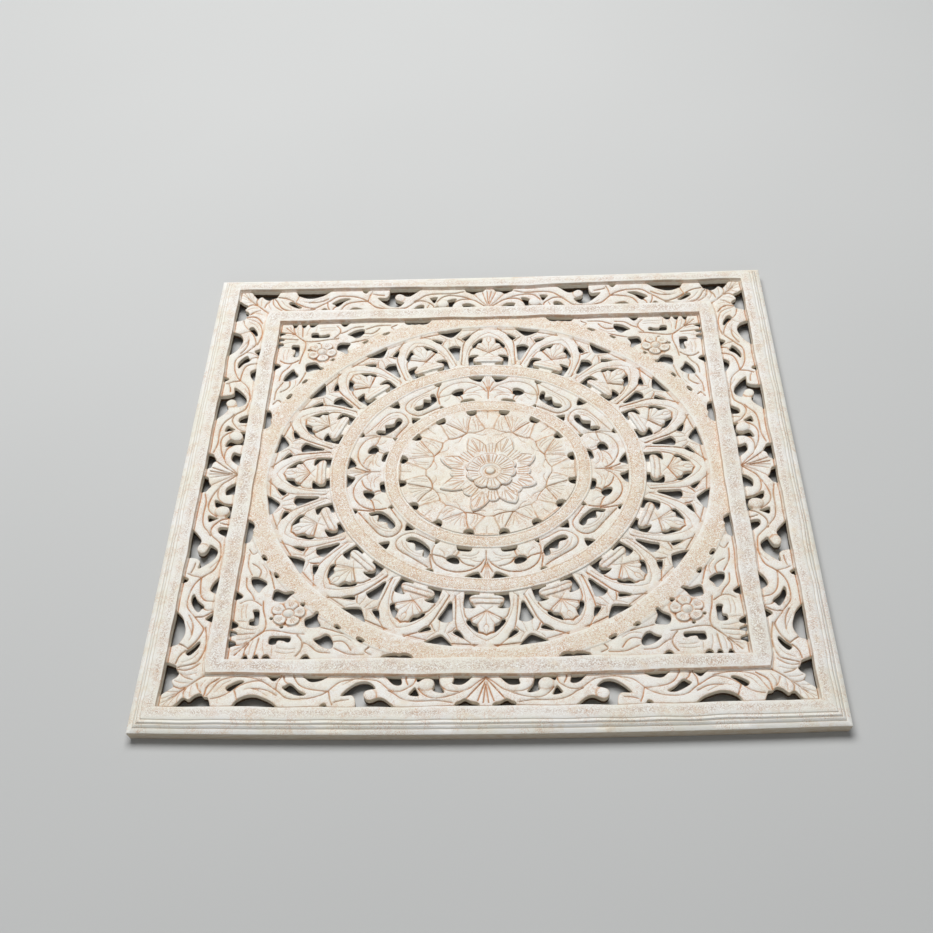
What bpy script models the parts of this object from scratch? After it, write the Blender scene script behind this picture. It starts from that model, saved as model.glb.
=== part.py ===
"""Square wall panel, carved and pierced from one board.

The pattern repeats eight times about the middle, so the script works out one
eighth of the face, from the middle of a side to a corner, and mirrors and turns
it. Lengths are in millimetres, with heights from the back of the rim, and become
metres in the mesh. In the eighth, a point of the square border is (across, out),
its distance from the side's middle line and from the panel's centre. A point of
the round field is (angle, radius), with the angle in degrees from that line.
"""

import math
from itertools import product

import bpy
from mathutils.geometry import delaunay_2d_cdt

NAME = "carved_panel"
MM = 0.001

# half widths of the board: outer edge, its foot at the back, and the hollow of the back
OUT = 450.0
FOOT = 447.4
HOLLOW = (424.2, 425.0)

# half widths of the broad band and of the inner frame, radii of the rings (the outer ring's inner edge)
BAND = (414.2, 434.4)
FRAME = (337.6, 362.4)
RING1 = 322.4
RING2 = (206.8, 230.7)
RING3 = (131.3, 151.8)

# heights above the back of the rim
TOP = 23.0
UNDER = 6.0
BORDER_TOP = (13.8, 19.0)
FRAME_TOP = 18.5
CORNER_TOP = 13.3
ARCADE_TOP = 12.6
RING2_TOP = 14.8
MIDDLE_TOP = 13.5
RING3_TOP = 15.0
DISC_TOP = 16.3

# a step's wall takes this much of the width
STEP = 0.8
RING_STEP = 1.2

# half width and height of each edge of the outer moulding
MOULDING = [
    (438.5, 21.8),
    (441.0, 18.6),
    (444.0, 18.4),
    (445.2, 16.6),
    (448.6, 16.2),
    (OUT, 14.8),
]

# the middle flower: radii of its lobes, of its edge's slope, and of the dish and button in it
HUB = 50.0
HUB_POINTS = 24
STAR_RISE = 2.1
STAR_SLOPE = 1.3
LOBE_TIP = 41.5
LOBE_DIP = 37.5
FLOWER_FOOT = DISC_TOP + STAR_RISE
FLOWER_TOP = 20.6
TURNED = [(16.0, 21.2), (13.5, 19.8), (7.5, 19.0), (5.8, 21.4), (3.2, 22.4)]
BUTTON_TOP = 22.6

# small raised figures: bars across the arches, (angle, radius), knobs on the border, flowers in the corners
BAR_TOP = [(-5.2, 237.8), (5.2, 237.8), (5.7, 245), (-5.7, 245)]
BAR_FEET = [[(-2.7, 236.6), (2.7, 236.6)], [(-3.8, 256), (0, 251.5), (3.8, 256)]]
BAR_RISE = 3.5
KNOB = (76.5, 376.0)
KNOB_RISE = 3.0
FLOWER = (264.0, 264.0)
FLOWER_LOBES = 5
FLOWER_RISE = 2.6
FLOWER_TIP = 22.0
FLOWER_DIP = 17.0
FLOWER_SLOPE = 1.5

# the near and far edges bow, and the middle flower sits off centre
NEAR_BOW = 5.9
FAR_BOW = 3.1
BOW_FROM = (324.0, 340.0)
HUB_SHIFT = (5.5, -5.0)
HUB_RADII = (60.0, 120.0)

# the hanging point, on the back of the far rail, from the panel's centre
HANG = 433.0

# the eighth: angle from one arch to the next, where circles and straight lines have a corner
ARCH_STEP = 22.5
ARCHES = (0.0, ARCH_STEP, 2 * ARCH_STEP)
LINE_ANGLES = [0.0, 7.5, 15.0, 22.5, 30.0, 37.5, 45.0]
LINE_PARTS = (0.0, 0.5, 1.0)
HUB_ANGLES = (0.0, 15.0, 30.0, 45.0)

# corners closer together than this are one, and a circle has no corner this near an opening's, in degrees
TOUCH = 0.05
CLEAR = 1.6

# where openings meet the foot of a step
IN_BAND = BAND[0] - STEP
OFF_FRAME = FRAME[1] + STEP
IN_FRAME = FRAME[0] - STEP
IN_RING1 = RING1 - RING_STEP
OFF_RING2 = RING2[1] + RING_STEP
IN_RING2 = RING2[0] - RING_STEP
OFF_RING3 = RING3[1] + RING_STEP
IN_RING3 = RING3[0] - RING_STEP

# openings of the border, (across, out)
BORDER = [
    [(398, IN_BAND), (388, 402), (382, 396), (375.5, 401), (367, 390), (356, 396), (350.5, IN_BAND)],
    [(337, 383), (326, 375.5), (316, 372), (311, 375), (327, 388.5)],
    [(325, IN_BAND), (320.5, 401), (304, 393.5), (292, 394), (276, 400.5), (262.5, IN_BAND)],
    [(286.5, OFF_FRAME), (284, 366), (275, 373), (267, OFF_FRAME)],
    [(264, 381), (254, 374.5), (241, 386), (230, 391.5), (245, 394.5)],
    [(237, OFF_FRAME), (227.5, 371), (211, 368.5), (204.5, OFF_FRAME)],
    [(212.5, IN_BAND), (211, 407), (205, 403.5), (200, IN_BAND)],
    [(188.5, 394), (179, 383), (167, 373.5), (149, 372.5), (140, 382.5), (156, 387.5), (158, 394),
     (148, 401.5), (138, 395.5), (130, 397), (112, IN_BAND), (167, IN_BAND), (171.5, 392.5)],
    [(130, OFF_FRAME), (120, 375.5), (107.5, 377), (109.5, OFF_FRAME)],
    [(100.5, 392), (95, 384.5), (90.5, 377.5), (84, 395)],
    [(90.5, OFF_FRAME), (62, OFF_FRAME), (52.5, 389), (70.5, 386), (66, 376.5), (76.5, 365.5), (88.5, 372.5)],
    [(43, OFF_FRAME), (17, OFF_FRAME), (22, 370), (30, 377.5), (45.5, 376), (42, 368)],
    [(41, IN_BAND), (39, 405), (27, 398), (20, 404), (10, 405), (6.5, IN_BAND)],
]

# openings of the corner fields, (across, out)
CORNER = [
    [(242.5, IN_FRAME), (241, 329), (234.5, 324.5), (226, IN_FRAME)],
    [(290.5, IN_FRAME), (289.5, 328), (283, 325.5), (276, IN_FRAME)],
    [(303, IN_FRAME), (301, 326.5), (295.5, 326.5), (292.5, IN_FRAME)],
    [(318, IN_FRAME), (315, 326.5), (310, 326.5), (307, IN_FRAME)],
    [(284, 311.5), (282.5, 300), (256, 299), (259, 309.5), (269, 306.5)],
    [(244.5, 271), (233, 265.5), (227, 259), (227, 272), (219.5, 285.5), (241, 288)],
    [(231, 305), (221, 302), (212, 295.5), (200.5, 310), (202, 320), (216, 317)],
    [(137, IN_FRAME), (135.5, 329), (117, 326), (107.5, 326), (97.5, 328), (92.5, IN_FRAME)],
]

# openings of half an arch, (angle from the arch's middle, radius)
ARCH = [
    [(5.1, 306.8), (8.4, 299.5), (7.4, 291.5), (6.3, 297)],
    [(2.2, 297), (5.6, 280.5), (4.4, 272.5), (3.4, 283.2), (2.1, 283.4)],
    [(3.8, 256), (6.9, 257.4), (7.55, 250), (7.55, OFF_RING2), (2.6, OFF_RING2), (2.7, 236.6), (5.2, 237.8),
     (5.7, 245)],
]

# openings between two arches, (angle from the line between them, radius)
BETWEEN = [
    [(-3.6, IN_RING1), (-2.3, 312), (0, 303), (2.3, 312), (3.6, IN_RING1)],
    [(0, 286), (2.2, 280), (0.8, 248), (-0.8, 248), (-2.2, 280)],
]

# openings between the second and third rings, and on the diagonal, (angle, radius)
MIDDLE = [
    [(1.4, IN_RING2), (8.8, IN_RING2), (7.4, 200), (4.1, 192.8), (2.8, 196)],
    [(11.6, 183), (14.5, 185.5), (17.6, 182), (19, 177.5), (15.5, 167.5), (12.6, 171)],
    [(7.5, OFF_RING3), (7.6, 157), (9, 159.8), (14.9, 159.8), (16.2, OFF_RING3)],
    [(25.7, 187.5), (27.8, 188.5), (29.3, 176.3), (32.4, 185), (35.6, 173.6), (40.3, 178), (40.3, 168),
     (36.6, 164.3), (27, 170)],
    [(41.9, OFF_RING3), (42.1, 155.5), (45, 166), (47.9, 155.5), (48.1, OFF_RING3)],
    [(42.6, IN_RING2), (43.2, 199), (45, 190.5), (46.8, 199), (47.4, IN_RING2)],
]

# openings of the disc, (angle from the line between two arches, radius)
DISC = [(-3.5, IN_RING3), (-1.6, 119), (1.6, 119), (3.5, IN_RING3)]

# the star on the disc, eight blunt petals and eight long leaves, (angle, radius)
STAR = [(0, 64.5), (5.5, 62.5), (9, 59.5), (14, 72), (22.5, 86.5), (31, 72), (36, 59.5), (39.5, 62.5),
        (45, 64.5)]

# the finish
COLOUR = (0.80, 0.77, 0.70, 1.0)
ROUGHNESS = 0.75


def polar(angle, radius):
    """The eighth's point at an angle and a radius."""
    turn = math.radians(angle)
    return (radius * math.sin(turn), radius * math.cos(turn))


def polars(points, middle=0.0, side=1):
    """The points of a polar outline, mirrored about its middle line where side is -1."""
    return [polar(middle + side * angle, radius) for angle, radius in points]


def between(value, low, high):
    """How far the value has gone from low to high, from 0 to 1."""
    return min(1.0, max(0.0, (value - low) / (high - low)))


def inside(point, outline):
    """Whether the point lies inside the closed outline."""
    x, y = point
    found = False
    for index, (bx, by) in enumerate(outline):
        ax, ay = outline[index - 1]
        if (ay > y) != (by > y) and x < ax + (y - ay) * (bx - ax) / (by - ay):
            found = not found
    return found


def openings():
    """Every opening that the eighth has a share of."""
    found = [list(outline) for outline in BORDER + CORNER]
    for middle, side in ((ARCHES[0], 1), (ARCHES[1], 1), (ARCHES[1], -1), (ARCHES[2], -1)):
        found += [polars(outline, middle, side) for outline in ARCH]
    for middle in (ARCH_STEP / 2, ARCH_STEP * 3 / 2):
        found += [polars(outline, middle) for outline in BETWEEN + [DISC]]
    return found + [polars(outline) for outline in MIDDLE]


def flower(slope):
    """A corner flower's outline, a slope's width in from its foot; a dip faces the panel's centre."""
    points = []
    for step in range(2 * FLOWER_LOBES):
        turn = math.pi * (1.25 + step / FLOWER_LOBES)
        radius = (FLOWER_TIP if step % 2 else FLOWER_DIP) - slope
        points.append((FLOWER[0] + radius * math.cos(turn), FLOWER[1] + radius * math.sin(turn)))
    return points


def star(slope):
    """The star's outline in the eighth, a slope's width in from its foot."""
    return [polar(angle, radius - slope) for angle, radius in STAR]


def round_height(x, y):
    """Height of the round field and its corner fields."""
    radius = math.hypot(x, y)
    levels = [
        (IN_RING3, RING3[0], DISC_TOP, RING3_TOP),
        (RING3[1], OFF_RING3, RING3_TOP, MIDDLE_TOP),
        (IN_RING2, RING2[0], MIDDLE_TOP, RING2_TOP),
        (RING2[1], OFF_RING2, RING2_TOP, ARCADE_TOP),
        (IN_RING1, RING1, ARCADE_TOP, CORNER_TOP),
    ]
    height = DISC_TOP
    for start, end, low, high in levels:
        if radius > start:
            height = low + (high - low) * between(radius, start, end)
    return height


def square_height(x, y):
    """Height of the whole face without its small raised figures."""
    out = max(x, y)
    if out <= FRAME[0]:
        return round_height(x, y) + (FRAME_TOP - round_height(x, y)) * between(out, IN_FRAME, FRAME[0])
    levels = [(FRAME[0], FRAME_TOP), (FRAME[1], FRAME_TOP), (OFF_FRAME, BORDER_TOP[0]),
              (IN_BAND, BORDER_TOP[1]), (BAND[0], TOP), (BAND[1], TOP)] + MOULDING
    for (start, low), (end, high) in zip(levels, levels[1:]):
        if out <= end:
            return low + (high - low) * between(out, start, end)
    return levels[-1][1]


def raised_figures():
    """Outlines of the raised tops with their rise."""
    found = [(polars(BAR_TOP, middle), BAR_RISE) for middle in ARCHES]
    found.append((flower(FLOWER_SLOPE), FLOWER_RISE))
    found.append((star(STAR_SLOPE) + polars([(50.0, HUB - 5), (-5.0, HUB - 5)]), STAR_RISE))
    return found


def near_outline(point, outline):
    """Whether the point lies on a corner of the outline or inside it."""
    return inside(point, outline) or min(math.dist(point, corner) for corner in outline) < TOUCH


def face_height(x, y, figures):
    """Height of the finished face."""
    height = square_height(x, y)
    for outline, rise in figures:
        if near_outline((x, y), outline):
            height += rise
    if math.dist((x, y), KNOB) < TOUCH:
        height += KNOB_RISE
    return height


def ring_line(radius, corners):
    """A ring's edge in the eighth: its regular points, and the corners of openings that it passes."""
    held = sorted(corners)
    spans = list(zip(held[::2], held[1::2]))
    free = [a for a in LINE_ANGLES if not any(low - CLEAR < a < high + CLEAR for low, high in spans)]
    return polars([(angle, radius) for angle in sorted(free + held)])


def corners_on(radius, found):
    """Angles of the openings' corners that lie on a ring's edge within the eighth."""
    angles = []
    for outline in found:
        for x, y in outline:
            if abs(math.hypot(x, y) - radius) < TOUCH:
                angles.append(math.degrees(math.atan2(x, y)))
    return angles


def square_line(out):
    """A line along the side at a half width, from the side's middle to the corner."""
    return [(part * out, out) for part in LINE_PARTS]


def guide_lines(found):
    """Every line that the face bends along."""
    lines = [square_line(out) for out in BAND + FRAME]
    lines += [square_line(out) for out, height in MOULDING]
    lines += [[(0.0, out), (out, out)] for out in (IN_BAND, OFF_FRAME, IN_FRAME)]
    for radius in (IN_RING3, RING3[0], RING3[1], OFF_RING3, IN_RING2, RING2[0], RING2[1], OFF_RING2,
                   IN_RING1, RING1):
        lines.append(ring_line(radius, corners_on(radius, found)))
    for middle in ARCHES:
        top = polars(BAR_TOP, middle)
        lines += [top + top[:1]] + [polars(foot, middle) for foot in BAR_FEET]
    for slope in (0.0, FLOWER_SLOPE):
        outline = flower(slope)
        lines.append(outline + outline[:1])
    return lines + [star(0.0), star(STAR_SLOPE)]


def hub_edge():
    """The eighth's share of the circle round the middle flower."""
    return polars([(angle, HUB) for angle in HUB_ANGLES])


def triangulate(lines, closed, points=()):
    """Constrained triangulation of lines, closed outlines and single points."""
    corners = [(x, y) for x, y in points]
    edges = []
    for path in list(lines) + list(closed):
        start = len(corners)
        corners += [(x, y) for x, y in path]
        edges += [(start + i, start + i + 1) for i in range(len(path) - 1)]
    start = len(points) + sum(len(path) for path in lines)
    for path in closed:
        edges.append((start + len(path) - 1, start))
        start += len(path)
    made = delaunay_2d_cdt(corners, edges, [], 0, 0.002, False)
    return [tuple(point) for point in made[0]], [tuple(face) for face in made[2]]


def kept(points, faces, outside, holes):
    """The faces that lie in the eighth and not in an opening, wound anticlockwise."""
    found = []
    for face in faces:
        a, b, c = (points[index] for index in face)
        area = (b[0] - a[0]) * (c[1] - a[1]) - (b[1] - a[1]) * (c[0] - a[0])
        middle = ((a[0] + b[0] + c[0]) / 3, (a[1] + b[1] + c[1]) / 3)
        if abs(area) < 1e-4 or not inside(middle, outside) or any(inside(middle, hole) for hole in holes):
            continue
        found.append(face if area > 0 else face[::-1])
    return found


def snapped(point):
    """The point, moved onto the eighth's straight edges where it is on them but for rounding."""
    x, y = point
    if abs(x) < TOUCH:
        x = 0.0
    if abs(x - y) < TOUCH:
        x = y
    return (x, y)


def lone_edges(faces):
    """Edges that only one face has, in that face's direction."""
    edges = set()
    for face in faces:
        for a, b in zip(face, face[1:] + face[:1]):
            if (b, a) in edges:
                edges.remove((b, a))
            else:
                edges.add((a, b))
    return sorted(edges)


def eighth():
    """Corners and triangles of one eighth of the board, without the hub."""
    holes = openings()
    figures = raised_figures()
    border = [(0.0, OUT), (OUT, OUT)] + hub_edge()[::-1]
    flat, faces = triangulate(guide_lines(holes), [border] + holes, [KNOB, FLOWER])
    faces = kept(flat, faces, border, holes)
    flat = [snapped(point) for point in flat]
    corners = [(x, y, face_height(x, y, figures)) for x, y in flat]
    triangles = list(faces)

    walls = []
    for a, b in lone_edges(faces):
        ends = (flat[a], flat[b])
        on_seam = all(x == 0.0 for x, y in ends) or all(x == y for x, y in ends)
        on_hub = all(math.hypot(x, y) < HUB + TOUCH for x, y in ends)
        if not on_seam and not on_hub:
            walls.append((a, b))

    def foot(point):
        """Where a corner of the face's edge meets the back."""
        scale = FOOT / OUT if max(point) > OUT - TOUCH else 1.0
        return (point[0] * scale, point[1] * scale)

    back_lines = [[foot(flat[a]), foot(flat[b])] for a, b in walls]
    back_lines += [square_line(out) for out in HOLLOW]
    outline = [(0.0, 0.0), (0.0, FOOT), (FOOT, FOOT)]
    back, back_faces = triangulate(back_lines, [outline])
    start = len(corners)
    for face in kept(back, back_faces, outline, holes):
        triangles.append(tuple(start + index for index in face[::-1]))
    back = [snapped(point) for point in back]
    for x, y in back:
        corners.append((x, y, UNDER if max(x, y) < HOLLOW[1] - TOUCH else 0.0))

    for a, b in walls:
        low = []
        for index in (a, b):
            point = foot(flat[index])
            low.append(start + min(range(len(back)), key=lambda i: math.dist(back[i], point)))
        triangles.append((b, a, low[0]))
        triangles.append((b, low[0], low[1]))
    return corners, triangles


def hub():
    """The flower in the middle, as rings of corners from its edge to its button."""
    rings = []
    turns = [2 * math.pi * step / HUB_POINTS for step in range(HUB_POINTS)]
    lobes = [LOBE_TIP if step % 2 else LOBE_DIP for step in range(HUB_POINTS)]
    rings.append([(HUB * math.sin(t), HUB * math.cos(t), FLOWER_FOOT) for t in turns])
    rings.append([(r * math.sin(t), r * math.cos(t), FLOWER_FOOT) for r, t in zip(lobes, turns)])
    inner = [r - STAR_SLOPE for r in lobes]
    rings.append([(r * math.sin(t), r * math.cos(t), FLOWER_TOP) for r, t in zip(inner, turns)])
    for radius, height in TURNED:
        rings.append([(radius * math.sin(t), radius * math.cos(t), height) for t in turns[1::2]])

    corners = [point for ring in rings for point in ring]
    triangles = []
    start = 0
    for outer, inner in zip(rings, rings[1:]):
        wide = len(outer)
        slim = len(inner)
        base = start + wide
        if slim == wide:
            for i in range(wide):
                j = (i + 1) % wide
                triangles.append((start + i, base + j, start + j))
                triangles.append((start + i, base + i, base + j))
        else:
            for i in range(slim):
                j = (i + 1) % slim
                tip = 2 * i + 1
                after = (2 * i + 2) % wide
                last = (2 * i + 3) % wide
                triangles.append((start + tip, base + i, start + after))
                triangles.append((start + after, base + j, start + last))
                triangles.append((start + after, base + i, base + j))
        start = base
    centre = len(corners)
    corners.append((0.0, 0.0, BUTTON_TOP))
    for i in range(slim):
        triangles.append((start + i, centre, start + (i + 1) % slim))
    return corners, triangles


def all_round(corners, triangles):
    """The eighth, mirrored and turned to all eight places."""
    for mirror in (1, -1):
        for turn in range(4):
            cos, sin = ((1, 0), (0, 1), (-1, 0), (0, -1))[turn]
            placed = [(mirror * x * cos - y * sin, mirror * x * sin + y * cos, z) for x, y, z in corners]
            wound = triangles if mirror > 0 else [face[::-1] for face in triangles]
            yield placed, wound


def weld(pieces):
    """One mesh of the pieces, with corners at the same place joined."""
    index_of = {}
    corners = []
    triangles = []
    for placed, wound in pieces:
        where = []
        for point in placed:
            key = tuple(round(value / TOUCH) for value in point)
            cells = [tuple(k + s for k, s in zip(key, shift)) for shift in product((0, -1, 1), repeat=3)]
            found = next((index_of[cell] for cell in cells if cell in index_of), None)
            if found is None:
                found = len(corners)
                index_of[key] = found
                corners.append(point)
            where.append(found)
        for face in wound:
            face = tuple(where[index] for index in face)
            if len(set(face)) == 3:
                triangles.append(face)
    return corners, triangles


def aged(point):
    """The point on the board as it is now: its near and far edges bowed, its flower off centre."""
    x, y, z = point
    radius = math.hypot(x, y)
    half = BAND[1]
    across = max(0.0, 1 - (x / half) ** 2)
    if y < 0:
        bow = NEAR_BOW * across * (y / half) ** 2 * between(radius, *BOW_FROM)
    else:
        bow = FAR_BOW * across * max(0.0, (y - FRAME[1]) / (half - FRAME[1]))
    near_hub = 1 - between(radius, *HUB_RADII)
    near_hub = near_hub * near_hub * (3 - 2 * near_hub)
    return (x + HUB_SHIFT[0] * near_hub, y - bow + HUB_SHIFT[1] * near_hub, z)


def whitewash():
    """Matt cream whitewash on wood."""
    material = bpy.data.materials.new("whitewashed_wood")
    material.use_nodes = True
    shader = material.node_tree.nodes["Principled BSDF"]
    shader.inputs["Base Color"].default_value = COLOUR
    shader.inputs["Roughness"].default_value = ROUGHNESS
    shader.inputs["Metallic"].default_value = 0.0
    return material


def build():
    """The panel as one object, with the origin at its hanging point."""
    corners, triangles = weld(list(all_round(*eighth())) + [hub()])
    used = sorted({index for face in triangles for index in face})
    number = {index: place for place, index in enumerate(used)}
    points = [aged(corners[index]) for index in used]
    metres = [(x * MM, (y - HANG) * MM, z * MM) for x, y, z in points]
    mesh = bpy.data.meshes.new(NAME)
    mesh.from_pydata(metres, [], [tuple(number[index] for index in face) for face in triangles])
    mesh.materials.append(whitewash())
    panel = bpy.data.objects.new(NAME, mesh)
    bpy.context.scene.collection.objects.link(panel)
    return panel


for old in list(bpy.data.objects):
    bpy.data.objects.remove(old, do_unlink=True)
build()
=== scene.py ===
"""Carved and whitewashed wall panel: the fine surface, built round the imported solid.

One eighth of the face, from the middle of a side to a corner, is worked out and then
mirrored and turned to all eight places. Lengths are in millimetres, with heights from
the back of the rim. A point of the square border is (across, out), its distance from
the side's middle line and from the panel's centre. A point of the round field is
(angle, radius), with the angle in degrees from that line.
"""
import math

import bpy
import numpy as np
from mathutils import Matrix, Vector
from mathutils.geometry import delaunay_2d_cdt
from mathutils.kdtree import KDTree


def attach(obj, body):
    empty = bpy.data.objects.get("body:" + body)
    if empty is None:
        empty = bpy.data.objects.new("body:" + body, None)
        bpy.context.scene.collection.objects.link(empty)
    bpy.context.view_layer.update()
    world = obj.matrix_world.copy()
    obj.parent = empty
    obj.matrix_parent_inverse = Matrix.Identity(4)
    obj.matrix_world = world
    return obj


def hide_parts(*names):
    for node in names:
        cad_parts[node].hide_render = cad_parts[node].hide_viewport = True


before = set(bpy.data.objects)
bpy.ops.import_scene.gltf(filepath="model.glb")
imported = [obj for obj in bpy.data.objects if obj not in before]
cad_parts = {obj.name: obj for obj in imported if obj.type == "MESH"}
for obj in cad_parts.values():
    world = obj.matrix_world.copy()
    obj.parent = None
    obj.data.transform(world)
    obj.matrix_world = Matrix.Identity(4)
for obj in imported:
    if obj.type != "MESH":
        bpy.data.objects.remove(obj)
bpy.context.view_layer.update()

NODE = "carved_panel"
MM = 0.001
FACE, CUT, BACK, SIDE = range(4)

# half widths of the board: outer edge, its foot at the back, and the hollow of the back
OUT = 450.0
FOOT = 447.4
HOLLOW = (424.2, 425.0)

# half widths of the broad band and of the inner frame, radii of the rings
BAND = (414.2, 432.8)
FRAME = (337.6, 362.4)
RING1 = (322.4, 350.0)
RING2 = (206.8, 230.7)
RING3 = (131.3, 151.8)

# heights above the back of the rim
TOP = 23.0
UNDER = 6.0
BORDER_TOP = (13.8, 19.0)
FRAME_TOP = 18.5
CORNER_TOP = 12.8
RING1_TOP = 13.8
ARCADE_TOP = 12.6
RING2_TOP = 14.8
MIDDLE_TOP = 13.5
RING3_TOP = 15.0
DISC_TOP = 16.3
STEP = 0.7

# half width and height of each edge of the outer moulding; its stained lines, each with a
# half width, a spread and an amount
MOULDING = [(432.9, 22.2), (433.5, 21.7), (434.2, 22.2), (437.0, 21.9), (438.0, 20.6),
            (438.9, 19.8), (439.9, 20.1), (442.2, 18.9), (442.9, 17.7), (443.5, 17.2),
            (444.2, 17.6), (449.4, 16.3), (450.0, 15.6)]
MOULDING_STAIN = [(433.3, 0.55, 0.8), (438.7, 0.9, 0.7), (443.3, 0.5, 0.85), (449.9, 0.3, 0.25)]

# how far the near and far edges bow, the half width at which the bow is full, and where it
# starts; how far off centre the middle flower sits, and the radii between which that fades
NEAR_BOW = 5.9
FAR_BOW = 3.1
BOW_HALF = 434.4
BOW_FROM = (324.0, 340.0)
HUB_SHIFT = (5.0, -4.8)
HUB_RADII = (60.0, 120.0)
HANG = 433.0

# how far, in mm or as a share, the hand-carved layout strays from an even one; the waves are a
# slow unevenness of the whole board, in place and in height
SPREAD = [(235, 0), (300, 4.2), (335, 4.2), (350, 2.8), (365, 3.6), (388, 4.0), (414, 3.0),
          (424, 1.5), (450, 0)]
END_SPREAD = (345, 385)
FAR_SPREAD = 5.0
SIDE_PINCH = (0.0145, 0.0075)
END_PINCH = 0.008
NEAR_TAPER = 4.5
FIELD_LIFT = (1.15, 0.75)
FIELD_SHARE = [(150, 0), (240, 2.8), (300, 3.4), (345, 6.5), (362, 6.0), (375, 1.0), (390, 0)]
NEAR_SPREAD = 1.8
END_LIFT = 1.9
END_OUT = 2.6
FAR_RISE = [(-450, 1.5), (-300, 1.8), (-150, 1.2), (-60, -1.2), (60, -1.2), (150, 2.0),
            (300, 3.2), (400, 3.0), (450, 1)]
SLUMP = 5.2
WAVES = 7
WAVE_LENGTHS = (45, 160)
WAVE_SUM = 3.2
UNEVEN = 0.75
UNEVEN_HEIGHT = (0.3, 0.12)

# thin grooves round the second and third rings: their radii, and their depth and width
RING_GROOVES = (134.9, 148.2, 210.4, 227.1)
GROOVE = (0.4, 0.5)

# width of the plain fillet along the foot of a frame, and of the worn edge of a band
FILLET = 2.3
WORN = 0.8
WORN_FALL = 0.35

# spacing of the mesh: opening edges, carved lines, relief, plain bands, and rings and steps
EDGE_GAP = 1.7
LINE_GAP = 2.2
RELIEF_GAP = 2.7
PLAIN_GAP = 6.5
RING_GAP = 3.0
STEP_GAP = 5.0
BACK_GAP = 12.0
NEAREST = 0.45
ROW = 0.866

# closeness that counts as touching, as being the same corner, as lying on one of the eighth's
# straight sides, and as being on the outer edge or the hollow's foot
TOUCH = 0.01
MERGE = 0.01
SNAP = 0.02
EDGE_CLOSE = 0.05

# how far from a path's corner its curve starts, on a foot and elsewhere, and points in a curve
BEND_SHARP = 0.8
BEND_SOFT = 7.0
BEND_POINTS = 5

# spots beside the openings' edges and carved lines: distances away and the least spacing
BESIDE_HOLE = (0.9,)
BESIDE_LINE = (1.0, 2.2)
BESIDE_VEIN = (0.9,)
HOLE_SPACING = 0.6
LINE_SPACING = 0.75
SPOT_CELL = 3
CLEAR = 0.5

# depth and width of a carved line and of a vein, and how the wood rounds down to lines, veins
# and openings; a line's bevel lowers its left side only
LINE_CUT = (1.3, 0.85)
VEIN_CUT = (0.7, 0.75)
PILLOW = (0.6, 1.3)
VEIN_PILLOW = (0.35, 1.4)
LIP = (0.35, 0.6)
BEVEL = 1.1
BEVEL_WIDTH = 2.6
BEVEL_TURN = 0.7

# amount and spread of the stain on lines, veins, feet of steps, lips, figures, edges, grooves
LINE_STAIN = (1.0, 1.05)
VEIN_STAIN = (0.7, 0.75)
FOOT_STAIN = (0.45, 0.55)
LIP_STAIN = (0.65, 0.8)
FIGURE_STAIN = (0.8, 0.95)
BAND_EDGE_STAIN = (0.6, 0.45)
GROOVE_STAIN = (0.6, 0.5)
RING_SHADE = 0.35
RING_SHADE_FROM = (313, 317)

# how much the wash is rubbed: 1 is pink-beige on the flat bands, -1 is tan and crackled
FIELD_TINT = 0.25
DISC_TINT = -0.35
RING_TINT = -0.8
BAND_RUB = (2.5, 7.5)
RING_RUB = (0.0, 2.0)

# where the pieces meet, on plain flats
SEAM_SQUARE = 350.0
SEAMS = (140.0, 218.0, 334.0)
PIECES = ("rosette", "middle_ring_carving", "arcade_carving", "corner_carving", "border_and_moulding")

# feet of the steps, where openings end: E and F bound the border's strip and G the round field,
# and of the rings' feet R1, Q2 and P3 are inner ones, and Q1, R2 and Q3 outer ones
E = BAND[0] - STEP
F = FRAME[1] + STEP
G = FRAME[0] - STEP
R1 = RING1[0] - STEP
Q1 = RING1[1] + STEP
R2 = RING2[1] + STEP
Q2 = RING2[0] - STEP
Q3 = RING3[1] + STEP
P3 = RING3[0] - STEP

# openings of the border, (across, out)
BORDER = [
    [(395.5, E), (386, 402), (383, 397), (380, 396), (374, 401), (370, 393.5), (364, 390), (359, 396),
     (353, 396), (347.5, E)],
    [(337, 383), (326, 375.5), (316, 372), (311, 375), (321, 381.5), (327, 388.5), (332, 389)],
    [(322.5, E), (318.5, 402), (309, 396), (301, 393.5), (291, 394), (273.5, 400.5), (260.5, E)],
    [(285, F), (283.5, 364), (275, 374.5), (267, 365), (266, F)],
    [(264, 381), (258, 378.5), (254, 374.5), (249, 377), (241, 386), (230, 391), (233, 394), (244, 394),
     (258, 386.5)],
    [(236, F), (234, 366), (226, 374), (212, 370.5), (203.5, F)],
    [(212.5, E), (211, 407), (205, 403.5), (200, E)],
    [(188.5, 394), (179, 383), (167, 373.5), (157, 371), (149, 372.5), (140, 382.5), (147, 384),
     (156, 387.5), (158, 394), (154, 400), (148, 401.5), (138, 395.5), (130, 397), (112, E), (167, E),
     (167.5, 399), (171.5, 392.5), (178, 393)],
    [(130, F), (129, 364), (120, 375.5), (112, 377.5), (107, 375), (109.5, F)],
    [(100.5, 392), (95, 384.5), (90.5, 377.5), (87, 387), (84, 395)],
    [(90.5, F), (62, F), (61, 374), (52.5, 389), (57, 391), (70.5, 386), (66, 376.5), (69, 368.5),
     (76.5, 365.5), (84, 368.5), (88.5, 372.5)],
    [(43, F), (17, F), (22, 370), (30, 377.5), (37, 378), (45.5, 376), (42, 368)],
    [(41, E), (39, 405), (34, 403.5), (27, 398), (20, 404), (10, 405), (6.5, E)],
]

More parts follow.
